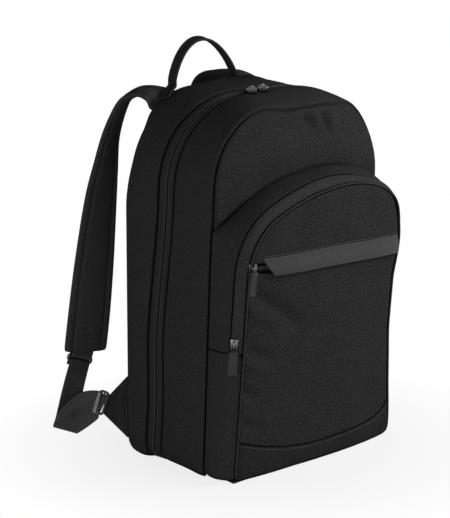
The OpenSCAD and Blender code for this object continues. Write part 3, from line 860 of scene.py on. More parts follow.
bm = cloth(sleeve_steps, sleeve_steps, sleeve_place)
face_out(bm, Vector((0, 1, 0.2)))
sleeve = piece("computer_sleeve", bm, lining_cloth, "lining", "laptop_sleeve")
thicken(sleeve, 3 * mm)
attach(sleeve, "back")

# The front panel closes the front half: heavier cloth over thin foam, sewn to the front gusset.
# Its rim turns back into the seam, and its face swells gently and has soft dents near the top.
front_cloth = woven("front_cloth", (0.018, 0.018, 0.0185), (0.046, 0.046, 0.047))


def dip(x, z, a, b, depth, width):
    """A soft valley in a cloth face along the line from a to b, all in mm."""
    ax, az, bx, bz = a[0] * mm, a[1] * mm, b[0] * mm, b[1] * mm
    run = (bx - ax) ** 2 + (bz - az) ** 2
    t = ((x - ax) * (bx - ax) + (z - az) * (bz - az)) / run
    off = ((x - ax) * (bz - az) - (z - az) * (bx - ax)) / math.sqrt(run)
    ends = smooth(-0.35, 0.3, t) * (1 - smooth(0.7, 1.35, t))
    return depth * mm * math.exp(-(off / (width * mm)) ** 2) * ends


face_inset = 4.2 * mm


def front_face(x, z):
    edge = front_form.inside(x, z) - front_sag(x, z) - face_inset
    y = front_seam(z) - 0.2 * mm - 4.5 * mm * (1 - turned_in(edge, 1, 6 * mm))
    swell = 6 * mm * smooth(0, 55 * mm, edge)
    soft = dip(x, z, (2, 425), (20, 405), 8, 6) + dip(x, z, (40, 422), (52, 392), 8, 5)
    soft -= dip(x, z, (22, 424), (34, 404), 3, 8) + ripple(x, 0, z, 60 * mm, 1.6 * mm, 5)
    return y - swell + soft * smooth(0, 20 * mm, edge)


front_patch = form_patch(front_form, face_rim, face_inset)
bm = panel(front_patch, 2 * body_half, body_top, 6 * mm, front_face)
front_board = piece("front_board", bm, front_cloth, "front_fabric", "front_panel")
thicken(front_board, wall)
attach(front_board, "front")


# A thin corded piping of the body cloth is caught in the front seam, on the gusset's side.
# It runs up both sides and over the top.
def swept(spots, section):
    """A closed bar: the section, a loop of (across, up) points, carried along the spots."""
    count = len(section(0))

    def place(i, j):
        centre, across, up = spots[i]
        a, h = section(i)[j % count]
        return centre + across * a + up * h

    bm = cloth(len(spots) - 1, count, place)
    bmesh.ops.remove_doubles(bm, verts=bm.verts, dist=1e-7)
    ends = [e for e in bm.edges if e.is_boundary]
    if ends:
        bmesh.ops.holes_fill(bm, edges=ends)
    bmesh.ops.recalc_face_normals(bm, faces=bm.faces)
    return bm


def round_section(radius, count=8):
    turns = [2 * math.pi * k / count for k in range(count)]
    loop = [(radius * math.cos(a), radius * math.sin(a)) for a in turns]
    return lambda i: loop


piping_spots = []
for k in range(221):
    part = 0.02 + 0.96 * k / 220
    x, z = face_rim(part, 1.3 * mm)
    far_x, far_z = face_rim(part, 0.3 * mm)
    out_way = Vector((far_x - x, 0, far_z - z)).normalized()
    piping_spots.append((Vector((x, front_seam(z) + 2.1 * mm, z)), Vector((0, 1, 0)), out_way))
bm = swept(piping_spots, round_section(1.5 * mm))
front_piping = piece("front_cord", bm, body_cloth, "body_fabric", "front_piping")
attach(front_piping, "front")

# The front pocket stands out on a gusset of body cloth that flares to a wide arch on the front
# panel. A cross seam marks where the zip ends; below it the gusset runs on to the front edge.
pocket_half, pocket_side, pocket_round = body_half, 254.4 * mm, 80 * mm
pocket_arch, arch_z = 265 * mm, 82 * mm
corner = 14 * mm
pocket_y, pocket_lean = -83 * mm, math.radians(5)
round_turn = math.atan2(pocket_side - arch_z, pocket_half - pocket_round)
pocket_low = corner * quarter
side_t = pocket_low + pocket_side - corner
pocket_length = 2 * (side_t + pocket_round * round_turn + pocket_arch * (quarter - round_turn))
pocket_deep = 12 * mm


def pocket_rim(t, inset=0.0):
    """A point of the pocket's outline, in its own leaning plane."""
    if t > pocket_length / 2:
        x, z = pocket_rim(pocket_length - t, inset)
        return -x, z
    if t < pocket_low:
        a = t / corner
        return inset - pocket_half + corner * (1 - math.sin(a)), corner * (1 - math.cos(a))
    t -= pocket_low
    if t < pocket_side - corner:
        return inset - pocket_half, corner + t
    t -= pocket_side - corner
    if t < pocket_round * round_turn:
        a, r = t / pocket_round, pocket_round - inset
        return pocket_round - pocket_half - r * math.cos(a), pocket_side + r * math.sin(a)
    a = round_turn + (t - pocket_round * round_turn) / pocket_arch
    return -(pocket_arch - inset) * math.cos(a), arch_z + (pocket_arch - inset) * math.sin(a)


def leaning(x, y, z):
    """From the pocket's leaning plane to the bag; its right side is slack, full at the foot."""
    c, s = math.cos(pocket_lean), math.sin(pocket_lean)
    foot = 7 * mm * (1 - smooth(10 * mm, 100 * mm, z)) * smooth(-60 * mm, 130 * mm, x)
    slack = 5 * mm * smooth(80 * mm, 150 * mm, z) * (1 - smooth(200 * mm, 250 * mm, z))
    slack *= smooth(20 * mm, 130 * mm, x)
    lift = (1.5 * mm + 4 * mm * smooth(-90 * mm, 20 * mm, x)) * smooth(200 * mm, 320 * mm, z)
    return Vector((x, pocket_y + y * c - z * s - foot + slack, y * s + z * c + lift))


def between(points, value):
    """Straight interpolation in a list of (place, value) pairs."""
    for (a, va), (b, vb) in zip(points, points[1:]):
        if value <= b:
            return va + (vb - va) * max(value - a, 0) / (b - a)
    return points[-1][1]


arch_points = [(-147, 302), (-138, 308), (-125, 315.5), (-100, 331), (-67, 344), (-32, 351.5),
               (3, 355), (39, 355), (89, 348), (120, 337), (138, 326), (147, 316)]
foot_line = [(-pocket_half, pocket_side)]
foot_line += [(x * mm, z * mm) for x, z in arch_points]
foot_line.append((pocket_half, pocket_side))
foot_run = [0.0]
for a, b in zip(foot_line, foot_line[1:]):
    foot_run.append(foot_run[-1] + math.dist(a, b))
zip_end = 162 * mm
fly_full = 12.4 * mm


def foot_of(t):
    """Where the gusset of the pocket meets the front of the bag."""
    if t <= side_t or t >= pocket_length - side_t:
        return pocket_rim(t)
    s = foot_run[-1] * (t - side_t) / (pocket_length - 2 * side_t)
    return (between(list(zip(foot_run, [p[0] for p in foot_line])), s),
            between(list(zip(foot_run, [p[1] for p in foot_line])), s))


def fly_wide(x, z):
    """The round edge of the pocket narrows towards the right of its arch."""
    return fly_full - 5.5 * mm * smooth(-20 * mm, 80 * mm, x) * smooth(270 * mm, 310 * mm, z)


def fly_at(t, share):
    """The round edge of the pocket from the zip's slit to the front edge: (inset, depth)."""
    a = share * quarter
    wide = fly_wide(*pocket_rim(t))
    inset = wide * ((1 - math.cos(a)) * 0.55 + share * 0.45)
    return inset, pocket_deep * ((1 - math.sin(a)) * 0.45 + (1 - share) * 0.55)


def gusset_point(t, v):
    """A point of the pocket's gusset: t round the pocket, v from the front panel to the zip."""
    x, z = pocket_rim(t)
    fx, fz = foot_of(t)
    upper = smooth(zip_end - 2 * mm, zip_end + 2 * mm, z)
    foot_y = front_seam(fz) - 1.0 * mm - 5 * mm * smooth(0, 12 * mm, pocket_half - abs(fx))
    top = leaning(x, pocket_deep, z)
    width = top.y - foot_y
    edge = min(v, (1 - v) if upper > 0 else 1) * abs(width)
    sink = turned_in(v * abs(width), 4 * mm, 3 * mm)
    sink += upper * turned_in((1 - v) * abs(width), 4.5 * mm, 2.6 * mm)
    full = 2.2 * mm * math.sin(math.pi * v)
    full += ripple(x, v * 0.04, z, 45 * mm, 1.0 * mm, 9) * smooth(0, 10 * mm, edge)
    px, pz = pocket_rim(t, sink - full)
    away = (1 - v) ** 1.4
    return Vector((px + (fx - x) * away, foot_y + width * v, pz + (fz - z) * away + (top.z - z) * v))


gusset_shares = rows_between(1, [e / (38 * mm) for e in seam_edges[:5]], 0.11)
fly_shares = [0.12, 0.25, 0.4, 0.55, 0.7, 0.85, 0.96, 1.0]
pocket_columns = 200


def pocket_side_place(i, j):
    t = pocket_length * i / pocket_columns
    if j < len(gusset_shares):
        return gusset_point(t, gusset_shares[j])
    share = fly_shares[j - len(gusset_shares)]
    inset, depth = fly_at(t, share)
    last = 1.5 * mm if share == 1.0 else 0
    x, z = pocket_rim(t, inset + last)
    over = leaning(x, depth + last, z)
    x, z = pocket_rim(t, 2.2 * mm + 1.5 * mm * share)
    under = leaning(x, pocket_deep + 5 * mm * share, z)
    return over.lerp(under, smooth(zip_end - 2 * mm, zip_end + 2 * mm, pocket_rim(t)[1]))


pocket_gusset = sewn_sheet(
    "pocket_side", pocket_columns, len(gusset_shares) + len(fly_shares) - 1, pocket_side_place,
    body_cloth, 2.4 * mm, "body_fabric", "pocket_gusset")
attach(pocket_gusset, "front")
# the cross seams are near-black cords: painted shadow along each seam's groove
seam_shadow_cord = tape("seam_shadow_cord", (0.003, 0.003, 0.003), (0.009, 0.009, 0.009),
                   ribs=900, slant=0.0, rough=0.7, relief=0.3)
seam_end = pocket_low + zip_end - corner
bm = bmesh.new()
for end in (seam_end, pocket_length - seam_end):
    line = [gusset_point(end, 0.03 + 0.94 * k / 16) for k in range(17)]
    seam_spots = [(at, Vector((0, 0, 1)), Vector((1, 0, 0))) for at in line]
    add_mesh(bm, swept(seam_spots, round_section(0.8 * mm)))
cross_seam = piece("cross_seam", bm, seam_shadow_cord, "body_fabric", "pocket_gusset")
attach(cross_seam, "front")

# The pocket's zip is hidden under a fly, a strip of slightly paler cloth that follows the round
# front edge. Its two dark tapes lie in the slit between the fly and the gusset.
fly_foot = 158 * mm
column_run = pocket_length / pocket_columns
fly_first = next(k for k in range(pocket_columns) if pocket_rim(column_run * k)[1] > fly_foot)
fly_count = pocket_columns - 2 * fly_first
fly_rows = [0.12, 0.13, 0.15, 0.2, 0.3, 0.45, 0.6, 0.75, 0.88, 0.96, 1.0, 1.0, 1.0]
fly_in = [3.2, 1.5, 0.5, 0.0, -0.2, -0.3, -0.3, -0.1, 0.0, 0.3, 1.0, 1.2, 6.0]
fly_down = [3.2, 1.5, 0.5, 0.0, -0.2, -0.3, -0.3, -0.1, 0.0, 0.3, 2.6, 7.0, 8.0]


def fly_place(i, j):
    t = pocket_length * (fly_first + i) / pocket_columns
    inset, depth = fly_at(t, fly_rows[j])
    x, z = pocket_rim(t, inset + fly_in[j] * mm)
    return leaning(x, depth + fly_down[j] * mm, z)


fly_cloth = woven("fly_cloth", (0.034, 0.034, 0.0345), (0.056, 0.056, 0.057))
pocket_fly = sewn_sheet("pocket_fly", fly_count, len(fly_rows) - 1, fly_place,
                        fly_cloth, 1.4 * mm, "body_fabric", "pocket_zip_inner")
lid_start, lid_end = leaning(0, 0, 112 * mm), leaning(0, 0, 148 * mm)
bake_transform(pocket_fly)


dark_tape = tape("dark_tape", (0.004, 0.004, 0.004), (0.014, 0.014, 0.014),
                 ribs=650, slant=1.0, rough=0.62, relief=0.5)


def pocket_tape(name, rows):
    """One tape of the pocket's zip, through rows of (inset, depth) in mm."""
    def place(i, j):
        t = pocket_length * (fly_first + i) / pocket_columns
        inset, depth = rows[j]
        x, z = pocket_rim(t, inset * mm * fly_wide(*pocket_rim(t)) / fly_full)
        return leaning(x, depth * mm, z)

    return sewn_sheet(name, fly_count, len(rows) - 1, place, dark_tape, 0.7 * mm, "zip_tape", name)


outer_tape = pocket_tape("pocket_zip_outer", [(2.6, 15.5), (2.4, 13.2), (3.4, 11.6), (4.4, 10.6)])
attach(outer_tape, "front")
inner_tape = pocket_tape("pocket_zip_inner", [(5.4, 9.6), (6.6, 8.4), (9, 6), (11.5, 4.2)])
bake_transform(inner_tape)

# The front edge of the pocket is finished with a thin cord covered in the cloth of the fly.
# It is caught in the seam between the fly and the pocket front, and runs down to the floor.
edge_spots = []
for k in range(221):
    t = pocket_length * (0.012 + 0.976 * k / 220)
    wide = fly_wide(*pocket_rim(t)) + 0.4 * mm
    x, z = pocket_rim(t, wide)
    far_x, far_z = pocket_rim(t, wide - 1 * mm)
    next_x, next_z = pocket_rim(t + 1 * mm, wide)
    out_way = leaning(far_x, -0.6 * mm, far_z) - leaning(x, 0, z)
    along_way = leaning(next_x, 0, next_z) - leaning(x, 0, z)
    up_way = out_way.cross(along_way)
    edge_spots.append((leaning(x, -1.1 * mm, z), out_way.normalized(), up_way.normalized()))
bm = swept(edge_spots, round_section(1.4 * mm))
pocket_edge = piece("pocket_cord", bm, fly_cloth, "body_fabric", "pocket_edge")
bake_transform(pocket_edge)


# The front of the pocket is one piece of the front cloth, sewn to the cord all round and to the
# base band below. It bulges a little and has soft drag lines that run in from its left edge.
def pocket_edge_of(x, z):
    """How far a point lies inside the pocket's outline."""
    if z > pocket_side and math.atan2(z - arch_z, abs(x)) > round_turn:
        return pocket_arch - math.hypot(x, z - arch_z)
    if z > pocket_side and abs(x) > pocket_half - pocket_round:
        return pocket_round - math.hypot(abs(x) - pocket_half + pocket_round, z - pocket_side)
    return pocket_half - abs(x)


def pocket_face(x, z):
    """Depth of the pocket's front face in its leaning plane, less than 0 in front."""
    crown = between([(0, 11), (0.034, 11), (0.12, 9.5), (0.25, 7), (0.347, 4)], z) * mm
    edge = pocket_edge_of(x, z) - fly_wide(x, z) - 1.6 * mm
    depth = turned_in(edge, 4 * mm, 4 * mm) - crown * (1 - (x / pocket_half) ** 2)
    depth -= 1.2 * mm * smooth(0, 16 * mm, edge)
    soft = dip(x, z, (-128, 234), (-50, 184), 7, 9) - dip(x, z, (-130, 217), (-82, 194), 4, 9)
    soft += dip(x, z, (-138, 169), (-90, 148), 6, 7) - dip(x, z, (-132, 152), (-100, 138), 3, 8)
    soft += dip(x, z, (-140, 116), (-114, 107), 5, 6) + dip(x, z, (-138, 76), (-104, 66), 4, 7)
    soft += ripple(x, 0, z, 60 * mm, 1.0 * mm, 21)
    return depth + soft * smooth(0, 8 * mm, edge)


band_points = [(-147, 56), (-139, 53), (-100, 41), (-61, 32), (-25, 27.5), (18, 27), (63, 28.5),
               (98, 31.5), (112, 35.5), (122, 41), (134, 50)]


def band_line(x):
    """The seam above the base band rises towards both ends of the pocket."""
    return between([(px * mm, pz * mm) for px, pz in band_points], x)


mid_round = side_t + pocket_round * round_turn / 2
side_x = pocket_half - 14.2 * mm


def patch_rim(t):
    return pocket_rim(t, fly_wide(*pocket_rim(t)) + 1.8 * mm)


def patch_foot(u):
    x = side_x * (2 * u - 1)
    return x, band_line(x) - 5 * mm


def patch_side(end):
    """One side of the pocket front, from the band to the middle of its round shoulder."""
    first = pocket_low + patch_foot(end)[1] - corner

    def at(v):
        t = first + (mid_round - first) * v
        return patch_rim(pocket_length - t if end else t)
    return at


def patch_top(u):
    return patch_rim(mid_round + (pocket_length - 2 * mid_round) * u)


pocket_patch = patch_between(patch_foot, patch_side(1), patch_top, patch_side(0))
bm = panel(pocket_patch, 270 * mm, 320 * mm, 5.5 * mm, pocket_face)
flat_corners = [v for v in bm.verts if len(v.link_edges) == 2 and v.co.z > 200 * mm]
bmesh.ops.dissolve_verts(bm, verts=flat_corners)
slip_z, slip_slope = 255.5 * mm, math.radians(3.5)


def slip_place(u, w):
    """A point beside the slip zip: u along it, w above it, in the pocket's plane."""
    c, s = math.cos(slip_slope), math.sin(slip_slope)
    return u * c + w * s, slip_z + w * c - u * s


slip_left, slip_right, slip_half = -128 * mm, 126 * mm, 6 * mm
along_slip = Vector((math.cos(slip_slope), 0, -math.sin(slip_slope)))
over_slip = Vector((math.sin(slip_slope), 0, math.cos(slip_slope)))
slip_cuts = [(slip_left, 0, along_slip), (slip_right, 0, along_slip),
             (0, slip_half, over_slip), (0, -slip_half, over_slip)]
for u, w, way in slip_cuts:
    x, z = slip_place(u, w)
    near = [f for f in bm.faces if abs(f.calc_center_median().z - slip_z) < 30 * mm]
    parts = set(near) | {e for f in near for e in f.edges} | {v for f in near for v in f.verts}
    bmesh.ops.bisect_plane(bm, geom=list(parts), plane_co=(x, 0, z), plane_no=way, dist=0.2 * mm)


def in_slip(co):
    c, s = math.cos(slip_slope), math.sin(slip_slope)
    u, w = co.x * c - (co.z - slip_z) * s, co.x * s + (co.z - slip_z) * c
    return slip_left < u < slip_right and abs(w) < slip_half


gone = [f for f in bm.faces if in_slip(f.calc_center_median())]
bmesh.ops.delete(bm, geom=gone, context="FACES")
for v in bm.verts:
    v.co = leaning(v.co.x, v.co.y, v.co.z)
face_out(bm, bag_middle)
pocket_front = piece("pocket_front", bm, front_cloth, "front_fabric",
                     "pocket_front_lower", "pocket_front_upper")
thicken(pocket_front, 2.2 * mm)
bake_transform(pocket_front)

# The base band is a strip of cloth along the foot of the pocket, turned under the bag; its colour is painted
# darker, as shade where light falls off near the floor. A row of stitches runs just below the seam that joins
# it to the pocket front.
band_columns = 60
band_half = pocket_half - 13 * mm
band_rows = [-1.5, 0.0, 1.2, 3, 7, 12, 18, 24, 28, 32, 36, 40, 44, 48, 52, 56, 60, 66]


def band_face(x, z):
    """The pocket's front face carried on below its own foot, for the band."""
    return pocket_face(x * 0.985, max(z, 30 * mm))


def band_place(i, j):
    x = (2 * i / band_columns - 1) * band_half
    top = band_line(x)
    drop = band_rows[j] * mm
    full = turned_in(max(drop, 0), 2 * mm, 2.2 * mm) + (2.5 * mm if drop < 0 else 0)
    edge = turned_in(band_half - abs(x), 2.4 * mm, 4 * mm)
    z = top - drop
    y = band_face(x, z) - 1.5 * mm + full + edge
    low = 9 * mm
    if z < low:
        over = low - z
        a = min(over / low, quarter)
        z = low - low * math.sin(a)
        y = y + low * (1 - math.cos(a)) + max(over - low * quarter, 0)
    spot = leaning(x, y, z)
    return spot.x, spot.y, max(spot.z, 0.3 * mm)


# painted shade: the band's tones are darker than the body cloth's
band_cloth_shaded = woven("band_cloth_shaded", (0.016, 0.016, 0.0165), (0.041, 0.041, 0.042))
base_band = sewn_sheet("base_band", band_columns, len(band_rows) - 1, band_place,
                       band_cloth_shaded, 2 * mm, "body_fabric", "base_band")
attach(base_band, "front")
# a near-black cord along the band's seam: painted shadow of the seam's groove
seam_spots = []
for k in range(band_columns + 1):
    x = (2 * k / band_columns - 1) * side_x
    z = band_line(x) + 0.6 * mm
    at = leaning(x, band_face(x, z) - 0.3 * mm, z)
    seam_spots.append((at, Vector((0, 0, 1)), Vector((0, -1, 0))))
bm = swept(seam_spots, round_section(0.4 * mm))
band_seam = piece("band_seam", bm, seam_shadow_cord, "body_fabric", "base_band")
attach(band_seam, "front")
thread = tape("thread", (0.08, 0.08, 0.08), (0.15, 0.15, 0.152),
              ribs=900, slant=0.0, rough=0.6, relief=0.3, shine=0.05, sheen=0.05)
stitch_pitch, stitch_half = 3.6 * mm, pocket_half - 16 * mm


def band_stitch_place(s, across, up):
    x = s - stitch_half
    z = band_line(x) - 3 * mm + across
    return leaning(x, band_face(x, z) - 1.6 * mm - up, z)


bm = lay(bead_row(2 * stitch_half, stitch_pitch, (2.7 * mm, 0.7 * mm, 0.6 * mm)), band_stitch_place)
band_stitches = piece("band_stitches", bm, thread, "body_fabric", "base_band")
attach(band_stitches, "front")

# The slip pocket has a zip let into the pocket front, under a flap of coated cloth.
# Its tapes lie just behind the opening, with a coil along each.
slip_rows = [-9, -6, -3.5, -1.2, -0.3, 0.3, 1.2, 3.5, 6, 9]
slip_columns = 60


def slip_tape_place(i, j):
    u = slip_left - 2 * mm + (slip_right - slip_left + 4 * mm) * i / slip_columns
    w = slip_rows[j] * mm
    x, z = slip_place(u, w)
    dent = 0.5 * mm * math.exp(-(w / (0.8 * mm)) ** 2)
    return leaning(x, pocket_face(x, z) + 2.9 * mm + dent, z)


slip_tape = sewn_sheet("slip_zip", slip_columns, len(slip_rows) - 1, slip_tape_place,
                       dark_tape, 0.8 * mm, "zip_tape", "slip_zip")
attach(slip_tape, "pocket_lid")


def slip_coil_place(side):
    def place(s, across, up):
        x, z = slip_place(slip_left + s, side * (1.3 * mm + across))
        return leaning(x, pocket_face(x, z) + 2.6 * mm - up, z)
    return place


bm = bmesh.new()
for side in (1, -1):
    row = bead_row(slip_right - slip_left, 1.5 * mm, (1.1 * mm, 2.2 * mm, 1.5 * mm))
    add_mesh(bm, lay(row, slip_coil_place(side)))
slip_coil = piece("slip_zip_coil", bm, nylon, "zip_tape", "slip_zip")
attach(slip_coil, "pocket_lid")

# The slip pocket's bag is one thin sheet of lining, sewn along the zip.
# It hangs empty behind the pocket front.
lining_columns, lining_rows, lining_deep = 44, 20, 88 * mm
lining_wide = slip_right - slip_left - 12 * mm


def lining_place(i, j):
    u = slip_left + 6 * mm + lining_wide * i / lining_columns
    down = j / lining_rows
    x, z = slip_place(u, 8 * mm - lining_deep * down)
    hang = 9 * mm + 1.5 * mm * math.sin(math.pi * down) + ripple(x, 0, z, 30 * mm, 0.6 * mm)
    return leaning(x, pocket_face(x, z) + hang, z)


slip_bag = sewn_sheet("slip_lining", lining_columns, lining_rows, lining_place,
                      lining_cloth, 0.8 * mm, "lining", "slip_lining")
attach(slip_bag, "pocket_lid")

# The flap is a strip of smooth coated cloth, doubled and hemmed, cut on a slant at its left end.
# It is sewn along its top edge and stands off the pocket at its lower one.
coated, tree, shader = finish("coated_cloth", {"Sheen Weight": 0.05, "Specular IOR Level": 0.15})
threading = pattern(
    tree, weave, "UV", {"Threads": 1500, "Dark": (0.027, 0.027, 0.029, 1), "Light": (0.05, 0.05, 0.053, 1)})
tree.links.new(threading.outputs["Color"], shader.inputs["Base Color"])
gloss = math_node(tree, "MULTIPLY", threading.outputs["Roughness"], 0.75)
tree.links.new(gloss, shader.inputs["Roughness"])
emboss(tree, threading.outputs["Height"], shader, 0.12, 0.2 * mm)

flap_left, flap_right = -119 * mm, 131 * mm
flap_top, flap_deep = 12.5 * mm, 22 * mm
flap_slant, flap_columns = 19 * mm, 90
flap_rows = [0, 1.0, 2.2, 4, 7, 11, 15, 18.5, 20.5, 21.6, 22.0]


def flap_place(i, j):
    drop = flap_rows[j] * mm
    left = flap_left + flap_slant * drop / flap_deep
    u = left + (flap_right - left) * i / flap_columns
    x, z = slip_place(u, flap_top - drop)
    stand = 0.9 * mm + 4.4 * mm * smooth(2 * mm, 20 * mm, drop)
    stand -= 1.2 * mm * smooth(20 * mm, 22 * mm, drop)
    stand += ripple(x, 0, z, 40 * mm, 0.5 * mm, 4) * smooth(3 * mm, 12 * mm, drop)
    if j == 0:
        stand = -1.2 * mm
    return leaning(x, pocket_face(x, z) - stand, z)


flap = sewn_sheet("zip_flap", flap_columns, len(flap_rows) - 1, flap_place,
                  coated, 1.5 * mm, "flap_fabric", "zip_flap")
hinge_x, hinge_z = slip_place(0, flap_top - 3 * mm)
flap_hinge = leaning(hinge_x, pocket_face(hinge_x, hinge_z), hinge_z)
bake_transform(flap)

# The flap's root is a narrow turned edge of the front cloth, above the flap.
# A row of pale stitches holds it down on the pocket front.
root_rows = [2.6, 2.4, 1.4, 0.4, -0.6, -0.8]
root_stand = [-0.6, 0.5, 0.9, 0.9, 0.4, -0.6]
root_columns = 60


def root_place(i, j):
    u = flap_left + 1 * mm + (flap_right - flap_left - 2 * mm) * i / root_columns
    x, z = slip_place(u, flap_top + root_rows[j] * mm)
    return leaning(x, pocket_face(x, z) - root_stand[j] * mm, z)


flap_root = sewn_sheet("flap_root", root_columns, len(root_rows) - 1, root_place,
                       front_cloth, 0.8 * mm, "front_fabric", "flap_root")
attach(flap_root, "pocket_lid")


def flap_stitch_place(s, across, up):
    x, z = slip_place(flap_left + 3 * mm + s, flap_top + 1.4 * mm + across)
    return leaning(x, pocket_face(x, z) - 1.0 * mm - up, z)


row = bead_row(flap_right - flap_left - 6 * mm, stitch_pitch, (2.7 * mm, 0.8 * mm, 0.6 * mm))
bm = lay(row, flap_stitch_place)
flap_stitches = piece("flap_stitches", bm, thread, "front_fabric", "flap_root")
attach(flap_stitches, "pocket_lid")


# The carrying handle is a narrow webbing arch with raised edges, bent over at the top of the back.
# Its flat feet are sewn down on top of the rear gusset, where they stay when the arch folds.
def spline(points, steps):
    """A smooth curve through the points, steps to each gap."""
    points = [Vector(p) for p in points]
    line = []
    for k in range(len(points) - 1):
        p0, p1, p2 = points[max(k - 1, 0)], points[k], points[k + 1]
        p3 = points[min(k + 2, len(points) - 1)]
        for n in range(steps):
            t = n / steps
            line.append(0.5 * (2 * p1 + (p2 - p0) * t + (2 * p0 - 5 * p1 + 4 * p2 - p3) * t * t
                               + (3 * p1 - p0 - 3 * p2 + p3) * t ** 3))
    line.append(points[-1])
    return line


def ribbon_spots(stations, steps):
    """Centre, across and up along a ribbon given as (centre, across) stations."""
    line = spline([st[0] for st in stations], steps)
    wide = spline([st[1] for st in stations], steps)
    spots = []
    for k, centre in enumerate(line):
        ahead = line[min(k + 1, len(line) - 1)] - line[max(k - 1, 0)]
        across = wide[k].normalized()
        spots.append((centre, across, ahead.cross(across).normalized()))
    return spots


def flat_section(half, thick, edge=0.0):
    """A flat ribbon with round edges; edge raises a bead along both of them."""
    t = thick / 2
    top = [(half, 0), (half - 0.3 * t, t * 0.7 + edge * 0.6), (half - 1.2 * t, t + edge),
           (half - 2.4 * t, t + edge * 0.5), (half - 3.4 * t, t), (half * 0.3, t)]
    top += [(-a, h) for a, h in reversed(top)]
    loop = top + [(a, -h) for a, h in reversed(top[1:-1])]
    return lambda i: loop


handle_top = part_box("top_handle")[1].z - 2 * mm
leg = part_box("handle_feet")[1].x - 1.5 * mm
handle_mid, handle_foot, handle_lean = 97 * mm, 443 * mm, 0.158
stations = [((-88 * mm, 76 * mm, 433.6 * mm), (-0.41, 0.86, -0.3)),
            ((-78 * mm, 81.5 * mm, 437.6 * mm), (-0.35, 0.9, -0.25)),
            ((-66 * mm, 89 * mm, 441.3 * mm), (-0.2, 0.97, -0.1)),
            ((-leg, handle_mid - 1 * mm, handle_foot), (-0.05, 1, 0.05))]
for k in range(1, 12):
    a = math.pi * k / 12
    rise = math.sin(a) ** 1.45 * (handle_top - handle_foot)
    x = -leg * math.cos(a) * (1 - 0.04 * math.sin(a))
    stations.append(((x, handle_mid + handle_lean * rise, handle_foot + rise), (0, 1, handle_lean)))
stations += [((-x, y, z), (-ax, ay, az)) for (x, y, z), (ax, ay, az) in reversed(stations[:4])]
stations = [(Vector(p), Vector(a)) for p, a in stations]
bm = swept(ribbon_spots(stations, 5), flat_section(7 * mm, 2.6 * mm, 0.7 * mm))
handle_web = tape("handle_webbing", (0.018, 0.018, 0.0185), (0.054, 0.054, 0.055),
                  ribs=520, slant=0.0, rough=0.5, relief=0.7)
handle = piece("handle", bm, handle_web, "webbing", "top_handle", "handle_feet")
soften(handle)
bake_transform(handle)


# Each shoulder strap is a curved band of foam with a stitched border along both edges; its colour is painted
# paler, as painted light where the bag shades it. It is sewn into the top seam, arches back and hangs behind
# the bag.
# painted light: the strap's tones are lighter than the body cloth's, for light the lamps don't bring there
strap_cloth_brightened = woven("strap_cloth_brightened", (0.04, 0.04, 0.0405), (0.068, 0.068, 0.069))


def strap_stations(side, more):
    """Centre, across and half width down a strap; more sets its arch further back."""
    path = [((-78, 80, 428), (0.9, 0.1, 0.42), 22),
            ((-79, 92, 430), (0.9, 0.13, 0.42), 22),
            ((-86, 106 + 0.3 * more, 436.5), (0.76, 0.62, 0.2), 23),
            ((-90, 124 + 0.8 * more, 435), (0.69, 0.72, -0.07), 26),
            ((-97, 138 + more, 420.5), (0.74, 0.6, -0.29), 30),
            ((-105, 150 + more, 384), (0.81, 0.5, -0.31), 33),
            ((-109, 157 + 0.8 * more, 343), (0.9, 0.36, -0.24), 34),
            ((-114.5, 161 + 0.6 * more, 300), (0.95, 0.21, -0.22), 34),
            ((-120, 168 + 0.3 * more, 223), (0.98, 0.04, -0.18), 34),
            ((-123.5, 174, 161.5), (0.98, -0.04, -0.19), 34),
            ((-127.5, 179, 107.5), (0.98, -0.05, -0.15), 34)]
    return [(Vector((-side * x, y, z)) * mm, Vector((ax, -side * ay, -side * az)), half * mm)
            for (x, y, z), (ax, ay, az), half in path]


border_wide = 11 * mm


def strap_section(half, thick, squeeze):
    """A padded band: full in the middle, a stitched groove, then a thinner border."""
    t = thick / 2
    border = half - border_wide
    top = [(half, 0), (half - 0.5 * mm, t * 0.32), (half - 1.6 * mm, t * 0.52), (half - 4 * mm, t * 0.7),
           (half - 8 * mm, t * 0.7), (border + 1.2 * mm, t * 0.52), (border, t * 0.38),
           (border - 1.2 * mm, t * 0.62), (border - 4 * mm, t * 0.92), (border * 0.5, t * 1.08)]
    top = top + [(0, t * 1.1)] + [(-a, h) for a, h in reversed(top)]
    loop = top + [(a, -h) for a, h in reversed(top[1:-1])]
    return [(a, h * squeeze) for a, h in loop]


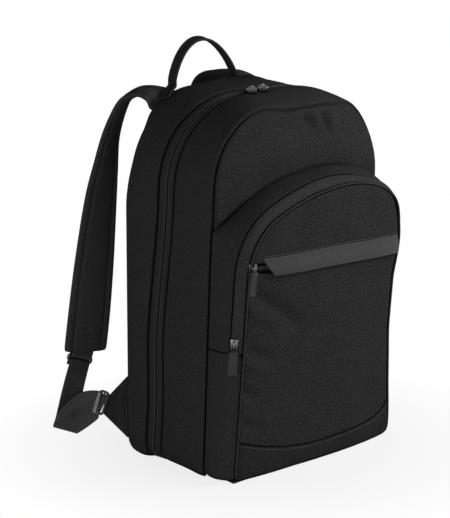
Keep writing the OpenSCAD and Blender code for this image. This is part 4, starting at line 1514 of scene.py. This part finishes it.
strap_thick, groove_half = 9 * mm, 23 * mm
for name, side, more in (("left", -1, 0), ("right", 1, 38)):
    stations = strap_stations(side, more)
    spots = ribbon_spots(stations, 10)
    halves = [v.x for v in spline([(half, 0, 0) for centre, across, half in stations], 10)]
    last = len(spots) - 1

    def section(i):
        to_end = min((last - i) / 2, 1)
        to_root = min(i / 10, 1)
        pinch = 0.55 + 0.45 * to_root
        narrow = halves[i] - (1 - to_end) ** 2 * 2.2 * mm
        return strap_section(narrow, strap_thick, pinch * (0.75 + 0.25 * to_end))

    bm = swept(spots, section)
    pad = piece("strap_pad_" + name, bm, strap_cloth_brightened, "body_fabric", "strap_pad_" + name)
    soften(pad)
    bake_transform(pad)

    # stitches along both borders of each face, and near the end a crossed box with a row below it
    lengths = [0.0]
    for a, b in zip(spots, spots[1:]):
        lengths.append(lengths[-1] + (b[0] - a[0]).length)
    run = lengths[-1]

    def on_strap(along, across, lift):
        """A point over the strap: along it from the root, across it as a share of its groove."""
        k = next((n for n in range(last) if lengths[n + 1] >= along), last - 1)
        part = (along - lengths[k]) / (lengths[k + 1] - lengths[k])
        centre, wide, high = (spots[k][n].lerp(spots[k + 1][n], part) for n in range(3))
        return centre + wide * across * (halves[k] - border_wide) + high * lift

    def stitch_line(first, second, lift):
        """Stitches from one (along, across) place to another, lift above the strap's middle."""
        way = Vector((second[0] - first[0], (second[1] - first[1]) * groove_half))
        row = bead_row(way.length, 4 * mm, (3.1 * mm, 0.9 * mm, 0.8 * mm))

        def place(x, across, up):
            part = x / way.length
            along = first[0] + (second[0] - first[0]) * part - across * way.y / way.length
            aside = first[1] + (second[1] - first[1]) * part + across * way.x / way.length / groove_half
            return on_strap(along, aside, lift + (up if lift > 0 else -up))
        return lay(row, place)

    bm = bmesh.new()
    top, foot, wide = run - 44 * mm, run - 16 * mm, 0.68
    box = [((top, -wide), (top, wide)), ((foot, -wide), (foot, wide)), ((top, -wide), (foot, -wide)),
           ((top, wide), (foot, wide)), ((top, -wide), (foot, wide)), ((top, wide), (foot, -wide)),
           ((run - 8 * mm, -0.9), (run - 8 * mm, 0.9))]
    for side_up in (-1, 1):
        for edge in (-1, 1):
            add_mesh(bm, stitch_line((34 * mm, edge), (run - 6 * mm, edge), side_up * 2.4 * mm))
        for first, second in box:
            add_mesh(bm, stitch_line(first, second, side_up * 5.2 * mm))
    seam = piece("strap_stitches_" + name, bm, thread, "body_fabric", "strap_pad_" + name)
    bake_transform(seam)

# A short loop of webbing at the end of each strap holds a moulded plastic ring.
# The loop is sewn between the two faces of the strap.
def uneven_gloss(tree, marks, shader, low, spread):
    """Lets the marks of a finish roughen it."""
    rough = math_node(tree, "ADD", math_node(tree, "MULTIPLY", marks, spread), low)
    tree.links.new(rough, shader.inputs["Roughness"])


webbing = tape("webbing", (0.026, 0.026, 0.0265), (0.072, 0.072, 0.074),
               ribs=520, slant=0.0, rough=0.34, relief=0.7, shine=0.1)
plastic, tree, shader, marks = mottled(
    "moulded_plastic", (0.008, 0.008, 0.009), (0.017, 0.017, 0.018), 240, 5,
    {"Specular IOR Level": 0.3, "Coat Weight": 0.15, "Coat Roughness": 0.15})
uneven_gloss(tree, marks, shader, 0.16, 0.2)


def round_box_loop(centre, wide_way, high_way, wide, high, radius, out_way, steps=5):
    """Spots round a rectangle with round corners, closed, for a swept ring."""
    spots = []
    for cx, cz, first in ((1, 1, 0), (-1, 1, 1), (-1, -1, 2), (1, -1, 3)):
        for k in range(steps + 1):
            a = (first + k / steps) * quarter
            round_way = wide_way * math.cos(a) + high_way * math.sin(a)
            middle = wide_way * cx * (wide / 2 - radius) + high_way * cz * (high / 2 - radius)
            spots.append((centre + middle + round_way * radius, round_way, out_way))
    return spots + spots[:1]


ring_ways = {}
ring_bar, bend, web_half = 3.5 * mm, 2.7 * mm, 15 * mm
for name, side in (("left", -1), ("right", 1)):
    middle = Vector((side * 134, 182, 99.5)) * mm
    x_way = Vector((0.93, side * 0.18, side * 0.33)).normalized()
    y_way = x_way.cross(Vector((side * -0.06, 0.09, -0.99))).normalized()
    z_way = x_way.cross(y_way)
    ring_ways[name] = middle, x_way, y_way, z_way
    spots = round_box_loop(middle, x_way, z_way, 34.5 * mm, 7 * mm, 3 * mm, y_way)
    bm = swept(spots, round_section(1.9 * mm, 10))
    ring = piece("strap_ring_" + name, bm, plastic, "plastic", "strap_ring_" + name)
    soften(ring)
    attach(ring, "strap_" + name)
    top_bar = middle + z_way * ring_bar
    line = [top_bar + y_way * 1.2 * mm + z_way * 16 * mm, top_bar + y_way * bend + z_way * 3 * mm]
    for k in range(9):
        a = math.pi * k / 8
        line.append(top_bar + y_way * bend * math.cos(a) - z_way * bend * math.sin(a))
    line += [top_bar - y_way * bend + z_way * 3 * mm, top_bar - y_way * 1.2 * mm + z_way * 16 * mm]
    bm = swept(ribbon_spots([(p, x_way) for p in line], 2), flat_section(web_half, 1.6 * mm))
    loop = piece("strap_loop_" + name, bm, webbing, "webbing", "strap_loop_" + name)
    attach(loop, "strap_" + name)


# Flat webbing hangs from each ring, turns up at the floor and runs to the adjuster, where its loose
# tail comes back behind it. Its upper end is turned round the ring and sewn down with a cross row.
def web_stations(name, side):
    """Centre and across down the webbing, from its sewn end behind the ring to the adjuster."""
    middle, x_way, y_way, z_way = ring_ways[name]
    bar = middle - z_way * ring_bar
    path = [(bar + y_way * 2.2 * mm - z_way * 7 * mm, x_way), (bar + y_way * bend - z_way * 2 * mm, x_way)]
    for k in range(7):
        a = math.pi * k / 6
        path.append((bar + y_way * bend * math.cos(a) + z_way * bend * math.sin(a), x_way))
    lower = [((-141, 181.5, 78.5), (0.94, -0.22, -0.25)), ((-142.5, 187, 58.5), (0.94, -0.26, -0.22)),
             ((-143, 193, 37), (0.91, -0.33, -0.27)), ((-142.5, 199, 17), (0.85, -0.46, -0.27)),
             ((-143, 201.5, 9), (0.74, -0.6, -0.28)), ((-144.2, 201, 5), (0.66, -0.7, -0.27)),
             ((-145.6, 198, 8), (0.65, -0.7, -0.28)), ((-145.6, 194.5, 17), (0.66, -0.69, -0.3)),
             ((-144.3, 190.5, 28), (0.86, -0.35, -0.36)), ((-143.3, 184.5, 35), (0.81, -0.09, -0.58)),
             ((-143, 175.5, 43), (0.56, 0.01, -0.83)), ((-143.5, 162.5, 50), (0.24, 0.1, -0.97)),
             ((-144.5, 147, 54.5), (-0.08, 0.3, -0.95)), ((-147, 138.5, 57.3), (0, 0.5, -0.87)),
             ((-146, 134.5, 55.5), (0, 0.5, -0.87)), ((-142.5, 130, 53.5), (0, 0.5, -0.87))]
    return path + [(Vector((-side * x, y, z)) * mm, Vector((ax, -side * ay, -side * az)))
                   for (x, y, z), (ax, ay, az) in lower]


def tail_stations(side):
    """Centre and across down the loose tail, from the adjuster."""
    path = [((-142, 135, 53.5), (0, 0.5, -0.87)), ((-139.5, 142, 50), (0, 0.1, -1)),
            ((-138.5, 152, 43.5), (0, -0.4, -0.92)), ((-138.5, 164, 34.5), (0, -0.58, -0.81)),
            ((-138.5, 178, 24), (0, -0.5, -0.87)), ((-139, 190, 15.5), (0, -0.3, -0.95))]
    return [(Vector((-side * x, y, z)) * mm, Vector((ax, ay, az))) for (x, y, z), (ax, ay, az) in path]


for name, side in (("left", -1), ("right", 1)):
    bm = swept(ribbon_spots(web_stations(name, side), 8), flat_section(web_half, 1.7 * mm))
    add_mesh(bm, swept(ribbon_spots(tail_stations(side), 8), flat_section(web_half, 1.7 * mm)))
    web = piece("strap_webbing_" + name, bm, webbing, "webbing", "strap_webbing_" + name)
    soften(web)
    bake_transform(web)
    middle, x_way, y_way, z_way = ring_ways[name]
    row_start = middle - x_way * 13 * mm - z_way * 8.5 * mm - y_way * 3.6 * mm
    row = bead_row(26 * mm, 3.2 * mm, (2.6 * mm, 1.0 * mm, 1.4 * mm))
    row = lay(row, lambda x, across, up: row_start + x_way * x + z_way * across - y_way * up)
    web_stitches = piece("webbing_stitches_" + name, row, thread, "webbing", "strap_webbing_" + name)
    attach(web_stitches, "strap_" + name)

# The adjuster is a small buckle: a moulded frame with two slots and a plated bar at the front.
# A doubled tab of body cloth, creased where it leaves the seam, holds it to the corner of the bag.
chrome, tree, shader, marks = mottled(
    "plated_zinc", (0.04, 0.04, 0.042), (0.24, 0.24, 0.25), 400, 4, {"Metallic": 1})
uneven_gloss(tree, marks, shader, 0.1, 0.15)
tab_columns, tab_rows = 30, 20

for name, side in (("left", -1), ("right", 1)):
    middle = Vector((side * 144, 133, 55.3)) * mm
    pull_way = Vector((side * 0.57, 0.75, 0.33)).normalized()
    bar_way = Vector((0, -0.62, 0.78))
    bar_way = (bar_way - pull_way * bar_way.dot(pull_way)).normalized()
    out_way = pull_way.cross(bar_way) * side
    spots = round_box_loop(middle, pull_way, bar_way, 11 * mm, 37 * mm, 4 * mm, out_way)
    bm = swept(spots, round_section(1.9 * mm, 10))
    post = [(middle - pull_way * 0.6 * mm + bar_way * k * mm, pull_way, out_way) for k in (-18, -9, 0, 9, 18)]
    add_mesh(bm, swept(post, round_section(1.5 * mm, 10)))
    lock = piece("adjuster_" + name, bm, plastic, "plastic", "adjuster_" + name)
    soften(lock)
    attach(lock, "adjuster_" + name)
    lip_middle = middle + pull_way * 5 * mm + out_way * 1.9 * mm
    lip = [(lip_middle + bar_way * k * mm, pull_way, out_way) for k in (-16.5, -15.5, -8, 0, 8, 15.5, 16.5)]
    bm = swept(lip, round_section(2.6 * mm, 12))
    bar = piece("adjuster_bar_" + name, bm, chrome, "metal", "adjuster_" + name)
    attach(bar, "adjuster_" + name)

    def tab_place(i, j):
        u, v = i / tab_columns, j / tab_rows
        seam_point = Vector((side * 148.2, 83, 21.5 + 79.5 * v)) * mm
        tip_point = middle - pull_way * 6.4 * mm + bar_way * (2 * v - 1) * 17 * mm
        spot = seam_point.lerp(tip_point, u)
        across = math.sin(math.pi * v)
        full = 2.4 * mm * math.exp(-((u - 0.42) / 0.2) ** 2)
        crease = 4.2 * mm * math.exp(-((u - 0.17 - 0.06 * across) / 0.07) ** 2)
        return spot.x + side * (full - crease) * across, spot.y, spot.z

    tab = sewn_sheet("corner_tab_" + name, tab_columns, tab_rows, tab_place,
                     body_cloth, 2.4 * mm, "body_fabric", "corner_tab_" + name)
    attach(tab, "back")


# Each slider is a plated zinc casting: a rounded shield over the zip with an arched bridge.
# All of them carry moulded rubber pulls with a small eye.
rubber, tree, shader, marks = mottled(
    "moulded_rubber", (0.026, 0.026, 0.027), (0.05, 0.05, 0.052), 700, 3,
    {"Roughness": 0.6, "Specular IOR Level": 0.2})
emboss(tree, marks, shader, 0.15, 0.2 * mm)
x_axis, y_axis, z_axis = Vector((1, 0, 0)), Vector((0, 1, 0)), Vector((0, 0, 1))


def soft_block(bm, size, centre, offset, segments=3, shape=None):
    """A block with round edges; shape, if given, moves its corners first."""
    old = set(bm.verts)
    made = bmesh.ops.create_cube(bm, size=1)["verts"]
    bmesh.ops.scale(bm, vec=size, verts=made)
    if shape:
        for v in made:
            v.co = shape(v.co)
    bmesh.ops.translate(bm, vec=centre, verts=made)
    edges = {e for v in made for e in v.link_edges}
    bmesh.ops.bevel(bm, geom=list(edges), offset=offset, segments=segments, profile=0.5, affect="EDGES")
    for v in bm.verts:
        if v not in old:
            for f in v.link_faces:
                f.smooth = True


def slider_mesh(pin):
    """A slider lying along X with its zip below it; pin is the height of its bridge."""
    bm = bmesh.new()

    def shield(co):
        return Vector((co.x, co.y * (1.0 if co.x > 0 else 0.78), co.z))

    soft_block(bm, (12 * mm, 9.4 * mm, 1.7 * mm), (0, 0, 1.1 * mm), 0.7 * mm, shape=shield)
    soft_block(bm, (4.6 * mm, 1.6 * mm, 4.4 * mm), (0, 0, -1.8 * mm), 0.3 * mm, 2)
    soft_block(bm, (11 * mm, 8.6 * mm, 1.3 * mm), (0, 0, -4.2 * mm), 0.5 * mm, 2, shape=shield)
    arch = []
    for k in range(11):
        a = math.pi * k / 10
        at = Vector((4.2 * mm * math.cos(a), 0, 1.8 * mm + (pin - 0.6 * mm) * math.sin(a) ** 0.7))
        arch.append((at, y_axis, Vector((math.cos(a), 0, math.sin(a)))))
    add_mesh(bm, swept(arch, flat_section(1.5 * mm, 1.1 * mm)))
    return bm


def pull_eye(bm, width):
    """The ring of a pull, round the bridge of its slider."""
    loop = round_box_loop(Vector((0.9 * mm, 0, 0)), x_axis, y_axis, 5.2 * mm, width, 1.2 * mm, z_axis, 3)
    add_mesh(bm, swept(loop, round_section(0.75 * mm, 8)))


def rubber_pull_mesh():
    """A pull along X from the pin of its slider: an eye, then a moulded tongue with a rim."""
    bm = bmesh.new()
    pull_eye(bm, 5.6 * mm)
    soft_block(bm, (29 * mm, 10.6 * mm, 2.8 * mm), (19.2 * mm, 0, 0), 1.2 * mm, 4,
               shape=lambda co: Vector((co.x, co.y * (1 if co.x > 0 else 0.94), co.z)))
    rim_middle = Vector((19.6 * mm, 0, 1.2 * mm))
    rim_way = round_box_loop(rim_middle, x_axis, y_axis, 25 * mm, 7.6 * mm, 2.4 * mm, z_axis, 4)
    add_mesh(bm, swept(rim_way, round_section(0.7 * mm, 8)))
    return bm


def set_down(bm, centre, run, up):
    """Moves a mesh made round the origin to its place: X along run, Z along up."""
    run = Vector(run).normalized()
    up = (Vector(up) - run * Vector(up).dot(run)).normalized()
    across = up.cross(run)
    for v in bm.verts:
        v.co = Vector(centre) + run * v.co.x + across * v.co.y + up * v.co.z
    return bm


def hardware(name, bm, material, slot):
    """A slider or pull, which is a body by itself."""
    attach(piece(name, bm, material, slot, name), name)


top_rise = bag_form.swell(0)
pull_way = Vector((-0.71934, -0.69466, 0))
for name, side in (("left", -1), ("right", 1)):
    at = Vector((side * 9.5, 6.8, 439)) * mm + Vector((0, 0, top_rise))
    bm = set_down(slider_mesh(3.6 * mm), at, (side, 0, 0), (0, 0, 1))
    hardware("main_slider_" + name, bm, chrome, "metal")
    at = Vector((side * 9.5, 6.8, 442.8)) * mm + Vector((0, 0, top_rise))
    bm = set_down(rubber_pull_mesh(), at, pull_way, (0, 0, 1))
    hardware("main_pull_" + name, bm, rubber, "rubber")

pin_high = 4.6 * mm
up_way = Vector((0, -math.sin(pocket_lean), math.cos(pocket_lean)))
fly_out = Vector((-0.72, -0.69, -0.06))
at = leaning(-144.3 * mm, 6.4 * mm, 174.5 * mm)
hardware("pocket_slider", set_down(slider_mesh(pin_high), at, up_way, fly_out), chrome, "metal")
at = at + fly_out * 5 * mm - up_way * 3 * mm
hardware("pocket_pull", set_down(rubber_pull_mesh(), at, -up_way, fly_out), rubber, "rubber")
slip_pin = Vector((-128.5, -109.8, 264.5)) * mm
slip_run = Vector((-0.99412, 0.08394, 0.06838))
slip_out = Vector((-0.0894, -0.9927, -0.0813))
at = slip_pin - slip_out * 5 * mm
hardware("slip_slider", set_down(slider_mesh(pin_high), at, slip_run, slip_out), chrome, "metal")
slip_down = slip_out.cross(slip_run)
hardware("slip_pull", set_down(rubber_pull_mesh(), slip_pin, slip_down, slip_out), rubber, "rubber")
